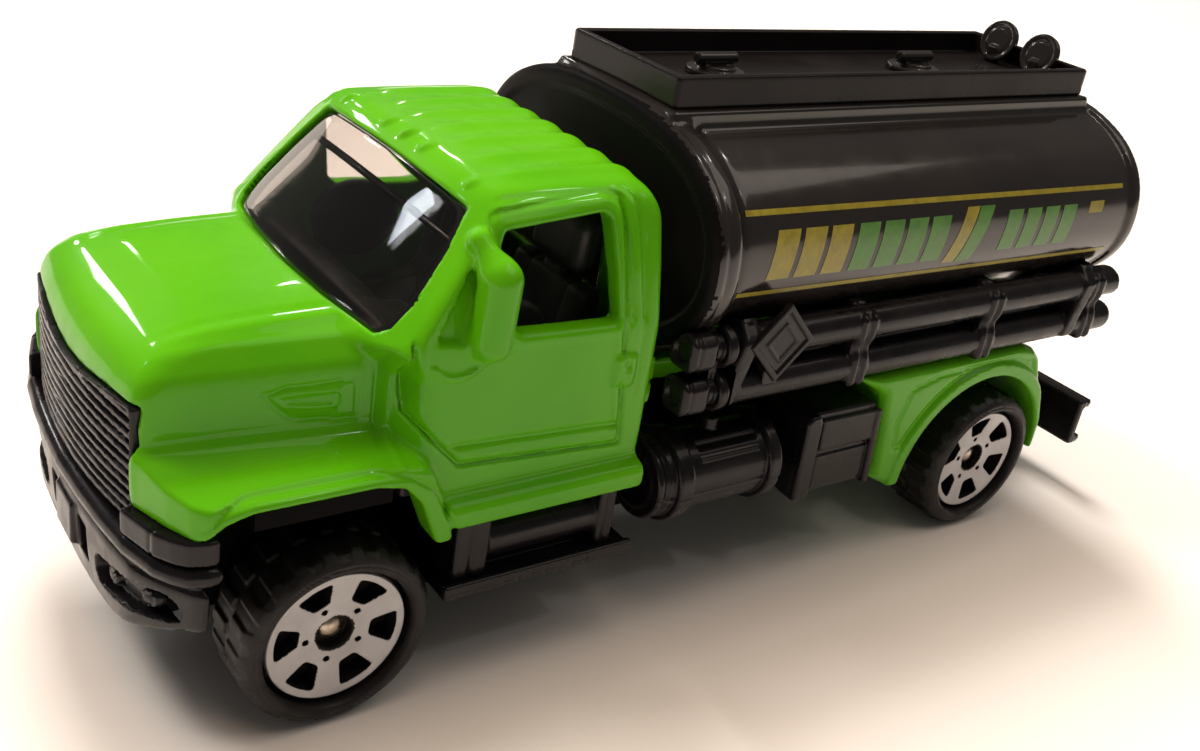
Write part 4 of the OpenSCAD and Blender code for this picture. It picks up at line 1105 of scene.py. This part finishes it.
def band(shapes, name, mat):
    """Thin printed shapes that lie on the barrel: each is (x0, x1, z0, z1, slant)."""
    for side in (1, -1):
        v, f = [], []
        for x0, x1, z0, z1, slant in shapes:
            nx, nz = max(2, int(abs(x1 - x0) / 1.2)), max(2, int((z1 - z0) / 0.25))
            base = len(v)
            for i in range(nx + 1):
                for k in range(nz + 1):
                    x = x0 + (x1 - x0) * i / nx + slant * (k / nz - 0.5)
                    z = z0 + (z1 - z0) * k / nz + (x + 13.7) * TILT
                    v.append((x, side * float(barrel_y(np.float64(z), LIFT)), z))
            for i in range(nx):
                for k in range(nz):
                    a = base + i * (nz + 1) + k
                    face = [a, a + nz + 1, a + nz + 2, a + 1]
                    f.append(face[::-1] if side > 0 else face)
        make(f"{name}_{'left' if side > 0 else 'right'}", np.array(v), f, None, [mat], slot="tank_gloss")


def blocks(x, n, w, step, z0, z1):
    """n slanted blocks of width w, running towards the rear from x."""
    return [(x - step * i, x - step * i - w, z0, z1, LEAN) for i in range(n)]


band([(-31.4, 4.0, 26.0, 26.3, 0), (-31.4, 4.0, 21.3, 21.6, 0)], "stripe_print", "print_yellow")
band(blocks(1.9, 3, 1.75, 2.15, 22.3, 25.2) + [(-27.6, -29.2, 24.5, 25.3, -0.2)], "block_print_front", "print_yellow")
band(blocks(-4.7, 4, 1.75, 2.15, 22.3, 25.2) + blocks(-18.6, 4, 1.5, 1.95, 22.5, 25.2),
     "block_print_rear", "print_green")
band([(-13.9, -15.1, 22.0, 25.6, -1.6)], "slash_print_front", "print_yellow")
band([(-15.2, -16.6, 22.0, 25.6, -1.6)], "slash_print_rear", "print_green")

# ---- floor, light and camera ----

lo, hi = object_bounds()
mid = (lo + hi) / 2
FLOOR_HALF, TILES = 1.6, 40
steps = [FLOOR_HALF * (i / (TILES / 2) - 1) for i in range(TILES + 1)]
v = [(mid.x + a, mid.y + b, lo.z) for a in steps for b in steps]
row = TILES + 1
f = [(a, a + row, a + row + 1, a + 1) for i in range(TILES) for a in range(i * row, i * row + TILES)]
me = bpy.data.meshes.new("floor")
me.from_pydata(v, [], f)
me.materials.append(M["floor_card"])
floor = bpy.data.objects.new("floor", me)
bpy.context.scene.collection.objects.link(floor)


def light(name, toward, dist, size, power, col, size_y=None):
    d = bpy.data.lights.new(name, "AREA")
    d.shape = "RECTANGLE"
    d.size, d.size_y = size, size_y or size
    d.energy, d.color = power, col
    ob = bpy.data.objects.new(name, d)
    bpy.context.scene.collection.objects.link(ob)
    t = Vector(toward).normalized()
    ob.location = mid + t * dist
    ob.rotation_euler = t.to_track_quat("Z", "Y").to_euler()
    return ob


WARM_WHITE, DAYLIGHT = (1, 0.96, 0.90), (0.85, 0.93, 1)
SPARK_WARM, SPARK_PALE = (1, 0.97, 0.92), (1, 0.98, 0.95)
SPARK_DIST = 0.5
# small bright lamps that leave spots of light on the paint: (direction, size, power, colour)
SPARKS = (((0.24, -0.86, 0.45), 0.045, 0.15, SPARK_WARM), ((-0.31, -0.80, 0.51), 0.032, 0.09, SPARK_WARM),
          ((0.03, -0.885, 0.465), 0.02, 0.035, SPARK_WARM), ((0.57, -0.617, 0.545), 0.036, 0.045, DAYLIGHT),
          ((-0.52, -0.12, 0.85), 0.03, 0.07, SPARK_PALE), ((-0.31, 0.47, 0.83), 0.026, 0.05, SPARK_PALE))

for unseen in (light("key", (-0.12, -0.55, 0.82), 0.8, 0.23, 6.3, WARM_WHITE, 0.29),
               light("second", (0.45, -0.35, 0.82), 0.9, 0.21, 3.1, WARM_WHITE),
               light("floor_wash", (0.15, -0.15, 0.98), 1.2, 1.0, 9.5, (1, 0.76, 0.60))):
    unseen.visible_glossy = False
light("ceiling", (-0.45, 0.25, 0.86), 0.8, 0.5, 1.0, (1, 0.88, 0.76))
light("card", (0.13, -0.985, 0.10), 0.6, 0.10, 0.08, (1, 0.86, 0.74), 0.11)
for spark_no, (toward, size, power, tint) in enumerate(SPARKS):
    light(f"spark_{spark_no}", toward, SPARK_DIST, size, power, tint, size * 0.8)
world = bpy.data.worlds.new("studio")
bpy.context.scene.world = world
world.use_nodes = True
bg = world.node_tree.nodes["Background"]
bg.inputs[0].default_value = (0.95, 0.90, 0.84, 1)
bg.inputs[1].default_value = 0.12
bpy.context.scene.view_settings.view_transform = "Standard"

cam_d = bpy.data.cameras.new("camera")
cam = bpy.data.objects.new("camera", cam_d)
bpy.context.scene.collection.objects.link(cam)
right = Vector((-0.81190235, 0.56313969, 0.15390993))
up = Vector((-0.14376902, -0.44838928, 0.88220039))
fwd = Vector((-0.56581362, -0.69413308, -0.44501035))
cm = Matrix((right, up, -fwd)).transposed().to_4x4()
cm.translation = Vector((52.4335, 60.208, 49.293)) / 1000
cam.matrix_world = cm
cam_d.lens, cam_d.sensor_width, cam_d.clip_start = 39.12, 36, 0.001
bpy.context.scene.camera = cam
